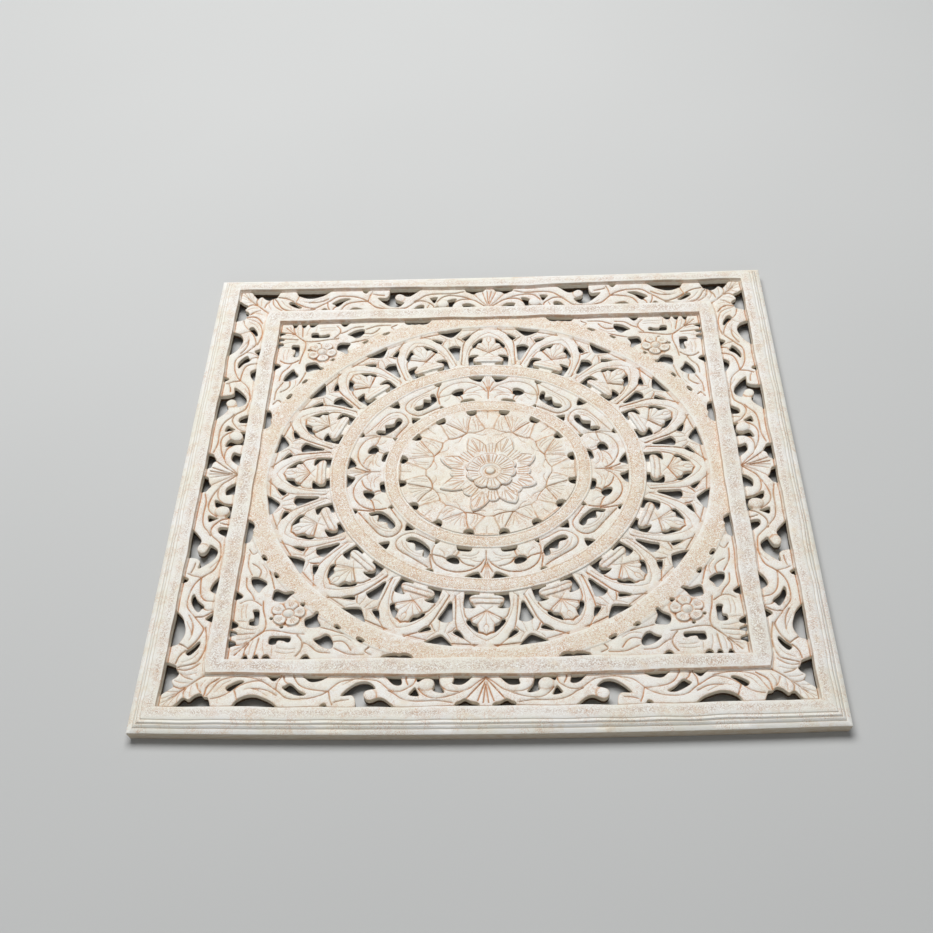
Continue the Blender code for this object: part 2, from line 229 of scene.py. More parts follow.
# openings of the corner fields, (across, out)
CORNER = [
    [(242.5, G), (241, 329), (234.5, 324.5), (226, G)],
    [(290.5, G), (289.5, 328), (283, 325.5), (276, G)],
    [(303, G), (301, 326.5), (295.5, 326.5), (292.5, G)],
    [(318, G), (315, 326.5), (310, 326.5), (307, G)],
    [(284.5, 312), (284, 301.5), (281, 299.5), (259, 299.5), (256, 302), (256.5, 308),
     (260, 309.5), (264, 307), (273, 306), (273.5, 312), (279, 313.5)],
    [(244.5, 271), (233, 265.5), (228, 258), (224, 263), (227.5, 271.5), (219.5, 285.5), (241, 288)],
    [(274, 285), (270.5, 281), (267.5, 285), (270.5, 288)],
    [(231, 305), (221, 302), (214.5, 295.5), (208, 297.5), (200.5, 310), (202, 320), (216, 317)],
    [(204.5, 285.5), (200.5, 280), (192, 288), (197, 289.5)],
    [(171.5, 304), (169, 299.5), (158, 306.5), (164, 310.5)],
    [(137, G), (135.5, 329), (117, 326), (113.5, 328.5), (107.5, 325.5), (98, 328), (92.5, G)],
    [(252, 246), (249, 249), (246, 252), (243.5, 246.5), (246.5, 243.5)],
]

# openings of half an arch, (angle from the arch's middle, radius)
ARCH = [
    [(5.1, 306.8), (5.7, 307.8), (7.2, 303.5), (8.4, 299.5), (8.3, 296.5), (7.4, 292.4), (6.5, 296)],
    [(1.9, 296.8), (2.5, 296.2), (4.4, 287), (5.5, 280), (5.2, 274), (4.4, 273.6), (3.6, 282.5),
     (2.2, 283.4)],
    [(3.2, 255.2), (4.0, 257.4), (6.7, 257.4), (7.35, 253), (7.55, R2), (2.6, R2), (2.6, 236.6),
     (4.7, 237.2), (5.75, 241.5), (5.5, 247), (4.2, 252)],
]

# openings between two arches, (angle from the line between them, radius)
BETWEEN = [
    [(-3.6, R1), (-3.2, 317.5), (-1.6, 309.5), (0, 302.8), (1.6, 309.5), (3.2, 317.5), (3.6, R1)],
    [(0, 285.6), (2.1, 281), (2.1, 277.5), (1.1, 262), (0.55, 248.4), (-0.55, 248.4), (-1.1, 262),
     (-2.1, 277.5), (-2.1, 281)],
    [(-3.5, P3), (-3.4, 124.5), (-1.4, 119.5), (1.4, 119.5), (3.4, 124.5), (3.5, P3)],
]

# openings between the second and third rings, and on the diagonal, (angle, radius)
MIDDLE = [
    [(1.4, Q2), (8.8, Q2), (7.4, 200), (4.1, 192.8), (3.0, 194.8), (2.6, 200)],
    [(20.7, Q2), (23.9, Q2), (23.4, 202), (22.2, 199.8), (21.0, 202.5)],
    [(11.8, 183.2), (14.5, 185), (17.4, 182.2), (18.8, 177.5), (17.6, 171), (15.3, 168.2), (12.8, 171.5)],
    [(7.5, Q3), (7.6, 157), (9, 159.6), (14.9, 159.8), (16.2, Q3)],
    [(25.7, Q3), (25.9, 155), (27.0, 161), (28.3, 155), (28.4, Q3)],
    [(25.7, 187), (27.6, 188.5), (28.7, 185), (29.3, 176.3), (31.2, 180.5), (32.4, 184.6), (33.6, 179),
     (35.6, 173.6), (38.2, 177.8), (40.3, 177), (40.2, 168.5), (36.6, 164.6), (31, 166.3), (26.8, 171.2)],
    [(41.9, Q3), (42.1, 155.5), (43.6, 160), (45, 165), (46.4, 160), (47.9, 155.5), (48.1, Q3)],
    [(42.6, Q2), (43.2, 199), (45, 190.5), (46.8, 199), (47.4, Q2)],
]

# carved lines of the border, (across, out)
BORDER_LINES = [
    [(316, 401.5), (319, 395), (322, 390), (325, 386.5), (313, 378), (299, 373), (290.5, 372), (276, 381.5),
     (266, 388), (256, 397), (246, 399.5), (224.5, 398), (210, 392), (202.5, 386), (195, 377.5),
     (187.5, 371.5), (165, 367), (140, 369.5), (132, 376), (125, 383), (116.5, 386.5), (107.5, 385.5),
     (99, 380), (92.5, 374.5), (90.5, 367)],
    [(249, 362), (244.5, 373), (239, 379.5), (230.5, 383.5), (214, 386), (204, 386)],
    [(202.5, 386), (200.5, 393), (199.5, 399), (196, 407)],
    [(125, 385), (116.5, 389.5), (109, 396.5), (99, 400.5), (85, 402), (60, 402), (44, 406)],
    [(86.5, 382), (81.5, 389.5), (75, 395.5), (65, 398.5), (50.5, 396.5), (39, 392.5), (30, 387.5)],
    [(62, 362), (61.5, 374), (57.5, 380.5), (50.5, 386.5), (40.5, 388.5), (30.5, 387.5), (22, 384),
     (15, 377), (7.5, 370), (0, 364)],
    [(1, 367), (25, 399)],
    [(1, 372), (10.5, 402)],
    [(0, 376), (3.5, 405)],
    [(363.5, 363.5), (399, 399)],
    [(346, 369), (356, 376), (360.5, 384), (359, 394.5)],
    [(371, 376), (369, 384), (364.5, 389.5)],
    [(381.5, 383), (384, 389), (381, 396)],
    [(356, 394), (351, 380), (344.5, 372), (333, 368), (321.5, 366), (307.5, 367), (291, 370.5)],
    [(350, 399), (339, 397), (333, 393.5), (327.5, 389)],
    [(301.5, 385), (289, 384.5), (279, 387), (268, 393)],
    [(270.5, 384), (270.5, 375), (266, 367), (262.5, 361)],
    [(262.5, 361), (260.5, 372), (256, 375.5)],
    [(194, 403), (186, 400), (176, 399)],
    [(100, 375), (103, 368), (102.5, 361)],
]
BORDER_VEINS = [
    [(347, 389), (340, 378), (330, 373)],
    [(311, 387), (303, 384), (292, 388), (280, 394)],
    [(166, 367), (158, 363.5), (148, 363), (138, 366)],
    [(184, 377), (172, 369.5)],
    [(362, 372), (366, 380), (366, 387)],
    [(376, 380), (376.5, 388), (374, 396)],
    [(388, 392), (389, 399), (388, 404)],
    [(390.5, 393), (396, 402), (399, 409)],
    [(394, 395), (401, 402), (406, 409)],
]

# carved lines of the corner fields, (across, out)
CORNER_LINES = [
    [(291.5, 292), (327, 327)],
    [(309.5, 312), (314, 319), (314.5, 327)],
    [(297, 305), (298.5, 316), (300, 326)],
    [(291.5, 292), (283, 290), (270, 292), (257, 295.5), (243, 297)],
    [(249, 299), (243.5, 306), (241, 313), (242.5, 321), (248, 328)],
    [(206, 310), (197.5, 307), (189, 306.5), (182, 312), (177, 320)],
    [(219.5, 286.5), (201, 291.5), (180.5, 299), (155, 313.5), (138, 320)],
    [(240, 310), (231.5, 314), (221, 324), (204, 325)],
    [(197, 319), (180, 327), (160, 327.5)],
    [(152, 315), (160, 322), (150, 328)],
]
CORNER_VEINS = [
    [(317, 320), (321, 328)],
    [(304, 308), (307.5, 317), (307.5, 325)],
    [(291, 306), (291, 316), (288, 326)],
    [(278.5, 317), (278, 328)],
    [(272, 317), (262, 319), (250, 318)],
    [(273, 323), (262, 325), (251, 323)],
    [(178, 306), (190, 298), (201, 299)],
]

# carved lines of half an arch, (angle from the arch's middle, radius)
ARCH_LINES = [
    [(6.9, 258), (6.4, 265), (5.9, 271), (5.1, 274)],
    [(10.3, 238), (9.7, 250), (9.0, 264), (8.3, 281), (7.4, 293)],
    [(5.3, 308), (4.1, 313), (2.7, 319.5)],
    [(0, 261), (1.6, 265.5), (3.0, 270), (4.2, 273.5)],
    [(0, 300.5), (0.9, 297.5), (1.9, 296.3)],
    [(2.2, 317.3), (5, 317.0), (7.9, 317.2)],
    [(9.4, 300), (8.7, 296.5), (8.1, 291)],
]
ARCH_VEINS = [
    [(8.9, 240), (8.3, 252), (7.3, 265), (6.1, 278), (4.6, 290), (3.1, 299.5), (1.6, 306), (0, 310)],
    [(0.4, 259), (1.8, 254)],
    [(0.6, 265), (2.2, 271.5), (4.0, 279)],
    [(0, 242.9), (5.2, 242.9)],
    [(0, 263), (0, 285)],
    [(0.3, 264), (1.0, 273), (2.2, 283)],
    [(0.2, 284), (0.8, 290), (0.3, 297)],
    [(5.6, 309), (7.0, 306), (8.6, 302)],
    [(8.2, 313), (8.9, 307), (9.9, 301)],
    [(10.4, 300), (10.3, 291), (9.9, 284)],
    [(10.6, 246), (10.3, 238), (9.0, 233.5)],
]

# carved lines between the second and third rings, (angle, radius)
MIDDLE_LINES = [
    [(0, 157), (0, 172)],
    [(0, 172), (0.8, 182), (2.3, 194)],
    [(1.0, 172), (2.6, 181), (5.4, 189), (9, 195.5), (13, 198.5), (17, 197.5), (20.5, 193.5), (23, 187.5),
     (25.0, 179), (26.3, 171), (26.9, 162)],
    [(5.6, 184), (8.5, 182.5), (11, 179), (12.9, 172)],
    [(18.6, 177.5), (20.5, 175.8), (22.5, 176.6), (24.8, 177.4)],
    [(14.6, 168.5), (13.9, 164), (14.1, 160)],
    [(22.2, 199.5), (23.2, 194), (24.8, 186), (25.7, 179)],
    [(24, 200), (28, 197), (33, 195.2), (38.5, 195.2), (41.7, 191), (43.5, 184), (43.8, 175), (43.1, 168),
     (41.6, 161), (39.5, 158), (34, 157), (28.6, 156.6)],
]
MIDDLE_VEINS = [
    [(16.6, 169), (15.8, 164), (15.6, 160)],
    [(4.5, 169), (7.5, 171.8), (10.5, 172.6), (13, 171)],
    [(3.6, 159), (4.6, 164), (7.5, 167.8), (11.5, 166.5)],
    [(0.35, 178), (0.6, 191), (1.0, 205)],
    [(19.5, 173.5), (20.5, 168), (23.5, 165.3)],
    [(28.8, 189.5), (31, 191.5), (35, 190.3), (38.5, 187), (41, 181)],
    [(29.5, 186.5), (32.2, 188), (36.2, 185.5), (38.6, 181)],
    [(0, 180), (0, 205)],
    [(2.2, 176), (4.8, 176), (7.3, 173)],
]

# the disc: sunk wedges and the lines of the leaves between them, (angle from a wedge's middle, radius)
WEDGE = [(0, 91.5), (3.9, 91.5), (6.6, 106), (8.8, 120), (9.2, 129.5)]
WEDGE_DEPTH = 2.0
WEDGE_FALL = (92, 34)
DISC_LINES = [
    [(12.8, 117), (16.6, 104), (20.4, 92), (22.5, 88.5)],
    [(3.9, 91.5), (8, 87.6), (14, 86), (19, 86.8), (22.5, 88.5)],
]
DISC_VEINS = [
    [(14.9, 117), (18.2, 105), (21.0, 95)],
    [(11.4, 112), (11.0, 101), (12.6, 91)],
    [(8.9, 108), (8.4, 98), (10.4, 90)],
    [(18.2, 118), (20.3, 107), (21.6, 98)],
    [(22.5, 119), (22.5, 101)],
    [(0, 128), (0, 112)],
    [(4.6, 80), (8.6, 78), (13.5, 82), (16.5, 86)],
]

# the star and the middle flower, (angle clockwise from the far side, radius)
STAR_LEAVES = [(21, 79), (64, 73), (112, 72), (151, 75), (196, 84), (244, 80), (291, 79), (337, 79)]
STAR_LOBES = [(0, 61), (45, 60), (89, 59), (134, 59), (176, 61), (217, 59), (268, 60), (312, 60)]
STAR_FOOT = 55.5
STAR_RISE = 2.7
PETALS = [(2, 38), (33, 38.5), (65, 39), (96, 37.5), (131, 37.5), (173, 37.5), (209, 37),
          (250, 36), (290, 37.5), (318, 37.5), (344, 38)]
PETAL_FOOT = 32.5
PETAL_RISE = 2.6
DISH = [(0, 22.7), (3.8, 22.4), (5.8, 21.5), (6.8, 20.0), (8.4, 19.2), (10.8, 19.3),
        (12.8, 20.4), (14.6, 20.6), (16.5, 21.0)]
DISH_STAIN = [(7.3, 1.3, 1.0), (10.6, 0.9, 0.6), (15.8, 0.9, 0.8)]
DISH_FADE = (19.0, 15.5)
BLOOM_TURNS = 640
BLOOM_SKIRT = 0.5
BLOOM_SUNK = (0.3, 2.0)

# small raised figures of the fields
BAR = [(236.6, 4.6), (241.0, 5.7), (247.0, 5.4), (250.5, 4.2)]
BAR_RISE = 3.5
BAR_ROUND = 0.35
BAR_PROFILE = [(236.6, 0), (237.6, 0.9), (239.4, 1), (242.4, 0.95), (243.2, 0.8), (249.4, 0.5), (250.6, 0)]
FAN = [(0, 260.5), (4.2, 273.6), (3.6, 283), (2.2, 284), (1.9, 296), (0, 301)]
FAN_RISE = 1.3
KNOB = (76.5, 376.0)
KNOB_RADIUS = 10.4
KNOB_RISE = 3.0
BULB = (149.5, 393.0)
BULB_RADIUS = 9.5
BULB_RISE = 1.2
FLOWER = (264.0, 264.0)
FLOWER_LOBES = 5
FLOWER_TIP = 22.0
FLOWER_DIP = 15.0
FLOWER_RISE = 2.6
FLOWER_TURN = 225
FLOWER_BUTTON = (6.4, 3.2)
FLOWER_GROOVE = (7.3, 0.9, 0.8)
FLOWER_COLLAR = (9.0, 0.6, 0.9)
FLOWER_BENDS = (4.4, 6.3, 7.4, 8.9)
LEAF_LID = [(24.4, 198), (28, 196), (33, 194), (38.3, 194), (41, 190), (42.6, 184), (42.9, 175),
            (42.3, 168), (41, 162), (39, 159), (34, 158), (28.8, 157.6), (27.6, 163), (27.0, 171),
            (26.2, 180)]
LID_RISE = 1.2

# places of the eighth's half arches and disc leaves: middle line and which side of it
HALF_ARCHES = ((0.0, 1), (22.5, 1), (22.5, -1), (45.0, -1))
HALF_LEAVES = ((0.0, 1), (45.0, -1))
ARCH_MIDDLES = (0.0, 22.5, 45.0)

# screen colours of the wash, the wood and the floor; the wood colours are bare wood darkened as painted
# shade, so that the openings and the space beneath them read dark
CREAM = (243, 242, 232)
CHALK = (248, 248, 245)
BEIGE = (222, 203, 178)
PINKISH = (194, 172, 156)
STAIN = (204, 146, 92)
WARM = (232, 214, 187)
TAN = (220, 200, 170)
SIDE_WASH = (246, 240, 226)
SIDE_TAN = (232, 216, 190)
# the outer sides' wash, painted darker grey-beige as painted shade
SHADED_EDGE_WASH = (206, 198, 184)
LINE_GREY = (188, 168, 142)
WOOD_AND_SHADE = (104, 82, 60)
PALE_WOOD_AND_SHADE = (124, 100, 76)
DARK_WOOD_AND_SHADE = (62, 48, 36)
FLOOR_TONES = ((199, 201, 202), (205, 207, 208))

# height down to which the wash reaches inside an opening, over the half width; below it the sides are bare
# wood painted dark as painted shade deep in the openings
WASH_REACH = [(F, 7.2), (E, 11.2)]

# brush strokes' cells per metre, across and along, on the near and far sides and on the others
BRUSH_SCALES = ((70, 640), (640, 70))

# angle, in degrees, over which an edge is drawn sharp
SHARP = 42.0

# camera and studio, in metres
CAMERA = (0.0542, -1.8540, 1.4827)
CAMERA_AIM = (-0.0316, -0.4134, 0.0)
CAMERA_ROLL = -3.48
LENS = 53.97
SENSOR = 36.0
FLOOR_SIZE = 12.0
FLOOR_LEVEL = -0.0002
LIGHT_COLOUR = (1.0, 0.985, 0.96)
LIGHTS = [
    ("key", (-0.55, 1.35, 3.7), (3.2, 2.6), 186.0),
    ("fill", (0.3, -6.5, 2.4), (6.0, 2.0), 55.0),
]
AIR = (236, 241, 246)
AIR_STRENGTH = 0.12


def polar(angle, radius):
    """The eighth's point at an angle and a radius."""
    turn = math.radians(angle)
    return (radius * math.sin(turn), radius * math.cos(turn))


def polars(points, middle=0.0, side=1):
    """The points of a polar outline, mirrored about its middle line where side is -1."""
    return [polar(middle + side * angle, radius) for angle, radius in points]


def arc(radius, start=0.0, end=45.0, gap=LINE_GAP):
    """Points along a circle."""
    count = max(2, round(math.radians(abs(end - start)) * radius / gap))
    return [polar(start + (end - start) * step / count, radius) for step in range(count + 1)]


def on_foot(point):
    """Whether the point lies on the foot of a step, where an opening has a sharp corner."""
    x, y = point
    radius = math.hypot(x, y)
    away = [abs(y - line) for line in (E, F, G)] + [abs(radius - r) for r in (R1, R2, Q2, Q3, P3)]
    return min(away) < TOUCH


def bent(points, closed):
    """The path with each corner turned into a small curve, sharper on the feet of steps."""
    points = [np.array(point, float) for point in points]
    count = len(points)
    path = []
    for index, corner in enumerate(points):
        if not closed and index in (0, count - 1):
            path.append(corner)
            continue
        reach = BEND_SHARP if on_foot(corner) else BEND_SOFT
        before = points[index - 1] - corner
        after = points[(index + 1) % count] - corner
        back = corner + before * min(NEAREST, reach / np.linalg.norm(before))
        ahead = corner + after * min(NEAREST, reach / np.linalg.norm(after))
        for step in range(BEND_POINTS):
            t = step / (BEND_POINTS - 1)
            path.append((1 - t) ** 2 * back + 2 * t * (1 - t) * corner + t * t * ahead)
    return path


def spaced(path, gap, closed=False):
    """The path with points about a gap apart, along the circle where both ends are on one ring's foot."""
    ends = path + path[:1] if closed else path
    found = [ends[0]]
    for a, b in zip(ends, ends[1:]):
        length = math.dist(a, b)
        if length < NEAREST * gap and not (on_foot(b) and not on_foot(a)):
            if math.dist(found[-1], b) < NEAREST * gap:
                continue
        pieces = max(1, round(length / gap))
        ra, rb = math.hypot(*a), math.hypot(*b)
        turned = abs(ra - rb) < SNAP and on_foot(a) and on_foot(b) and abs(a[1] - b[1]) > SNAP
        for step in range(1, pieces + 1):
            t = step / pieces
            point = (a[0] + (b[0] - a[0]) * t, a[1] + (b[1] - a[1]) * t)
            if turned:
                scale = ra / math.hypot(*point)
                point = (point[0] * scale, point[1] * scale)
            found.append(point)
    if closed:
        found = found[:-1]
    return [(float(x), float(y)) for x, y in found]


def linked(start, count):
    """Index pairs that join a run of points one after the other."""
    return [(start + i, start + i + 1) for i in range(count - 1)]


def straight(out, gap=LINE_GAP):
    """A line along the side at a half width, from the side's middle to the corner."""
    count = round(out / gap)
    return [(out * step / count, out) for step in range(count + 1)]


def lobed(tip, dip, lobes, angles, power=0.5):
    """Radius of a lobed outline, with a tip at angle 0, angles in degrees."""
    return dip + (tip - dip) * np.abs(np.cos(np.radians(angles) * lobes / 2)) ** power


def openings():
    """Every opening that the eighth has a share of."""
    found = [list(outline) for outline in BORDER + CORNER]
    for middle, side in HALF_ARCHES:
        found += [polars(outline, middle, side) for outline in ARCH]
    for middle in (11.25, 33.75):
        found += [polars(outline, middle) for outline in BETWEEN]
    found += [polars(outline) for outline in MIDDLE]
    return [spaced(bent(outline, True), EDGE_GAP, True) for outline in found]


def carved_lines():
    """The deep lines and the veins of the eighth."""
    deep = BORDER_LINES + CORNER_LINES + [polars(line) for line in MIDDLE_LINES]
    fine = BORDER_VEINS + CORNER_VEINS + [polars(line) for line in MIDDLE_VEINS]
    for middle, side in HALF_LEAVES:
        deep += [polars(line, middle, side) for line in DISC_LINES]
        fine += [polars(line, middle, side) for line in DISC_VEINS]
    for middle, side in HALF_ARCHES:
        deep += [polars(line, middle, side) for line in ARCH_LINES]
        fine += [polars(line, middle, side) for line in ARCH_VEINS]
    deep += flower_lines()
    fine += flower_veins()
    deep.append(straight(E - FILLET, RING_GAP))
    fine.append(straight(F + FILLET, RING_GAP))
    deep.append([point for point in straight(G - FILLET, RING_GAP) if math.hypot(*point) > Q1 + 3])
    return [[spaced(bent(line, False), LINE_GAP) for line in kind] for kind in (deep, fine)]


def around(middle, radii, turns):
    """Points about a middle, each at a radius and a direction in radians."""
    return [(middle[0] + r * math.cos(t), middle[1] + r * math.sin(t)) for r, t in zip(radii, turns)]


def flower_lines():
    """The lines between a corner flower's lobes."""
    turns = [math.radians(FLOWER_TURN + 360 * lobe / FLOWER_LOBES) for lobe in range(FLOWER_LOBES)]
    return [around(FLOWER, (9.5, FLOWER_DIP), (turn, turn)) for turn in turns]


def flower_veins():
    """The midrib and the rim of each lobe of a corner flower."""
    found = []
    for lobe in range(FLOWER_LOBES):
        middle = FLOWER_TURN + 360 * (lobe + 0.5) / FLOWER_LOBES
        for shift, start, end in ((0, 11.0, 18.5), (9, 12.0, 16.5), (-9, 12.0, 16.5)):
            turn = math.radians(middle + shift)
            found.append(around(FLOWER, (start, end), (turn, turn)))
    return found


def circle(middle, radius, gap=LINE_GAP):
    """A closed circle about a point."""
    count = max(8, round(2 * math.pi * radius / gap))
    turns = [2 * math.pi * step / count for step in range(count + 1)]
    return around(middle, [radius] * (count + 1), turns)


def flower_edge(turns):
    """Radius of a corner flower's outline, turns in degrees from the board's middle."""
    return lobed(FLOWER_TIP, FLOWER_DIP, FLOWER_LOBES, turns - 180.0 / FLOWER_LOBES)


def corner_flower(slope):
    """A corner flower's outline, a slope's width in from its foot."""
    angles = np.arange(0, 361, 6.0)
    return around(FLOWER, flower_edge(angles) - slope, np.radians(FLOWER_TURN + angles))


def mirrored(points):
    """A half outline about the side's middle line, with its other half."""
    return points + [(-angle, radius) for angle, radius in points[::-1]]


def figure_outlines():
    """Closed outlines of the raised and sunk figures: fan leaves and wedges."""
    fans = [polars(mirrored(FAN), middle) for middle in ARCH_MIDDLES]
    wedges = [polars(mirrored(WEDGE), middle) for middle, side in HALF_LEAVES]
    return fans, wedges


def figure_edges():
    """The feet of the small figures, where stain gathers."""
    rounds = ((BULB, BULB_RADIUS), (KNOB, KNOB_RADIUS), (FLOWER, 7.2))
    lines = [corner_flower(0.0)] + [circle(middle, radius) for middle, radius in rounds]
    side = [(angle, radius) for radius, angle in BAR]
    lines += [polars(mirrored(side), middle) for middle in ARCH_MIDDLES]
    for outlines in figure_outlines():
        lines += [outline + outline[:1] for outline in outlines]
    return lines


def bend_lines():
    """Lines along which the surface bends sharply, apart from openings and carved lines."""
    outs = [E, F, G]
    for low, high in (BAND, FRAME):
        outs += [low, low + WORN, high - WORN, high]
    lines = [straight(out, STEP_GAP) for out in outs + [out for out, height in MOULDING[1:]]]
    radii = []
    for low, high, inner, outer in ((*RING2, Q2, R2), (*RING3, P3, Q3)):
        radii += [inner, low, low + WORN, high - WORN, high, outer]
    radii += [R1, RING1[0], RING1[0] + WORN]
    radii += [radius + side for radius in RING_GROOVES for side in (-0.7, 0.0, 0.7)]
    lines += [arc(radius, gap=RING_GAP) for radius in radii]
    for radius in (RING1[1] - WORN, RING1[1], Q1):
        lines.append(arc(radius, math.degrees(math.acos(G / radius)), gap=RING_GAP))
    for middle, start, end in zip(ARCH_MIDDLES, (0, -1, -1), (1, 1, 0)):
        for radius, share in BAR_PROFILE:
            reach = float(ramp(radius, BAR))
            lines.append(arc(radius, middle + start * reach, middle + end * reach, gap=2.0))
    lines += [corner_flower(slope) for slope in (0.0, 1.3)]
    lines += [circle(FLOWER, radius, EDGE_GAP) for radius in FLOWER_BENDS]
    for figures in figure_outlines():
        for outline in figures:
            lines.append(spaced(outline + outline[:1], LINE_GAP))
    lines.append(circle(BULB, BULB_RADIUS))
    lines.append(circle(KNOB, KNOB_RADIUS - 0.6))
    return lines


def seam_lines():
    """Lines on plain flats where the pieces meet."""
    return [arc(radius, gap=RING_GAP) for radius in SEAMS] + [straight(SEAM_SQUARE, STEP_GAP)]


def piece_of(x, y):
    """Number of the piece that points belong to."""
    radius = np.hypot(x, y)
    number = np.searchsorted(SEAMS, radius)
    return np.where(np.maximum(x, y) > SEAM_SQUARE, len(SEAMS) + 1, number)


def within(points, outline):
    """Which points lie inside a closed outline."""
    corners = np.array(outline)
    low, high = corners.min(0), corners.max(0)
    found = np.zeros(len(points), bool)
    near = np.flatnonzero((points >= low).all(1) & (points <= high).all(1))
    x, y = points[near, 0], points[near, 1]
    crossed = np.zeros(len(near), bool)
    for (ax, ay), (bx, by) in zip(corners, np.roll(corners, -1, 0)):
        if ay != by:
            crossed ^= ((y < ay) != (y < by)) & (x < ax + (y - ay) * (bx - ax) / (by - ay))
    found[near] = crossed
    return found


def tree_of(points):
    """A search tree of flat points."""
    tree = KDTree(len(points))
    for index, (x, y) in enumerate(points):
        tree.insert((x, y, 0.0), index)
    tree.balance()
    return tree


def spaced_close(line, gap):
    """Points every gap along the line."""
    found = [line[0]]
    for (ax, ay), (bx, by) in zip(line, line[1:]):
        pieces = max(1, math.ceil(math.hypot(bx - ax, by - ay) / gap))
        found += [(ax + (bx - ax) * t / pieces, ay + (by - ay) * t / pieces) for t in range(1, pieces + 1)]
    return found


def distance(points, lines):
    """Distance of each point from the nearest line."""
    tree = tree_of([point for line in lines for point in spaced_close(line, 0.5)])
    return np.array([tree.find((x, y, 0.0))[2] for x, y in points])


def beyond(points, lines, gap=0.8):
    """Signed distance of each point from the nearest line, positive on the line's left."""
    places, ways = [], []
    for line in lines:
        close = spaced_close(line, gap)
        for (ax, ay), (bx, by) in zip(close, close[1:]):
            places.append(((ax + bx) / 2, (ay + by) / 2))
            ways.append((bx - ax, by - ay))
    tree = tree_of(places)
    found = []
    for x, y in points:
        place, index, away = tree.find((x, y, 0.0))
        left = ways[index][0] * (y - place[1]) - ways[index][1] * (x - place[0])
        found.append(math.copysign(away, left))
    return np.array(found)


def beside(path, offset, closed=False):
    """Points on both sides of a path, an offset away."""
    found = []
    count = len(path)
    for index, (x, y) in enumerate(path):
        before = path[index - 1] if closed or index else path[index]
        after = path[(index + 1) % count] if closed or index < count - 1 else path[index]
        dx, dy = after[0] - before[0], after[1] - before[1]
        length = math.hypot(dx, dy)
        if length:
            found.append((x - dy / length * offset, y + dx / length * offset))
            found.append((x + dy / length * offset, y - dx / length * offset))
    return found


class Spots:
    """Points kept at least a gap apart."""

    def __init__(self):
        self.cells = {}
        self.points = []

    def add(self, point, gap):
        """Keep the point if it is far enough from every kept one."""
        cx, cy = int(point[0] // SPOT_CELL), int(point[1] // SPOT_CELL)
        near = [(cx + i, cy + j) for i in (-1, 0, 1) for j in (-1, 0, 1)] if gap else []
        for cell in near:
            for x, y in self.cells.get(cell, ()):
                if (x - point[0]) ** 2 + (y - point[1]) ** 2 < gap * gap:
                    return
        self.cells.setdefault((cx, cy), []).append(point)
        self.points.append(point)


def on_relief(x, y):
    """Which points lie on carved relief and not on a plain band or ring."""
    radius = np.hypot(x, y)
    plain = (radius > P3) & (radius < Q3) | (radius > Q2) & (radius < R2) | (radius > R1) & (radius < Q1)
    plain |= radius < STAR_FOOT - 5
    return (y > F) & (y < E) | (y < G) & ~plain


def flat_mesh():
    """Points and triangles of the eighth, still flat, with its openings cut out."""
    holes = openings()
    deep, fine = carved_lines()
    border = [(0.0, OUT), (OUT, OUT), (0.0, 0.0)]
    paths = [spaced_close(border + border[:1], RELIEF_GAP)] + [hole + hole[:1] for hole in holes]
    paths += deep + fine + bend_lines() + seam_lines()
    spots = Spots()
    corners = []
    edges = []
    for path in paths:
        edges += linked(len(corners), len(path))
        corners += path
        for point in path:
            spots.add(point, 0)
    fixed = len(spots.points)
    for lines, offsets, spacing in ((holes, BESIDE_HOLE, HOLE_SPACING), (deep, BESIDE_LINE, LINE_SPACING),
                                    (fine, BESIDE_VEIN, LINE_SPACING)):
        for offset in offsets:
            for line in lines:
                for point in beside(line, offset, lines is holes):
                    spots.add(point, spacing)
    for gap, share, limit, carved in ((RELIEF_GAP, 0.62, OUT, True), (PLAIN_GAP, 0.45, BAND[1], False)):
        for row in range(int(OUT / (gap * ROW)) + 1):
            for column in range(int(OUT / gap) + 1):
                x, y = (column + 0.5 * (row % 2)) * gap, row * gap * ROW
                if x <= y < limit and bool(on_relief(x, y)) == carved:
                    spots.add((x, y), share * gap)
    extra = np.array(spots.points[fixed:])
    x, y = extra.T
    clear = (x > CLEAR) & (y - x > CLEAR * math.sqrt(2)) & (y < OUT - CLEAR)
    for hole in holes:
        clear &= ~within(extra, hole)
    corners += [tuple(point) for point in extra[clear]]
    made = delaunay_2d_cdt([Vector(point) for point in corners], edges, [], 0, MERGE, False)
    points = np.array([tuple(point) for point in made[0]])
    return points, clean(points, np.array(made[2]), border, holes), holes, deep, fine


def clean(points, faces, outside, holes):
    """The faces that lie in the outline and not in an opening, wound anticlockwise."""
    a, b, c = points[faces[:, 0]], points[faces[:, 1]], points[faces[:, 2]]
    area = (b[:, 0] - a[:, 0]) * (c[:, 1] - a[:, 1]) - (b[:, 1] - a[:, 1]) * (c[:, 0] - a[:, 0])
    middle = (a + b + c) / 3
    keep = within(middle, outside) & (np.abs(area) > 1e-5)
    for hole in holes:
        keep &= ~within(middle, hole)
    faces = faces[keep]
    return np.where((area[keep] > 0)[:, None], faces, faces[:, ::-1])


def smooth(value, low, high):
    """A soft step from 0 at low to 1 at high."""
    t = np.clip((value - low) / (high - low), 0.0, 1.0)
    return t * t * (3 - 2 * t)


def between(value, low, full, fading, high):
    """A soft step up from low to full and down again from fading to high."""
    return smooth(value, low, full) * (1 - smooth(value, fading, high))


def bell(away, width):
    """1 at no distance, falling off softly over a width."""
    return np.exp(-(away / width) ** 2)


def ramp(value, table):
    """Height from a table of places and heights."""
    places, heights = zip(*table)
    return np.interp(value, places, heights)


def member(low, high, top):
    """Table rows of a plain raised band, with its two edges a little worn."""
    worn = top - WORN_FALL
    return [(low, worn), (low + WORN, top), (high - WORN, top), (high, worn)]


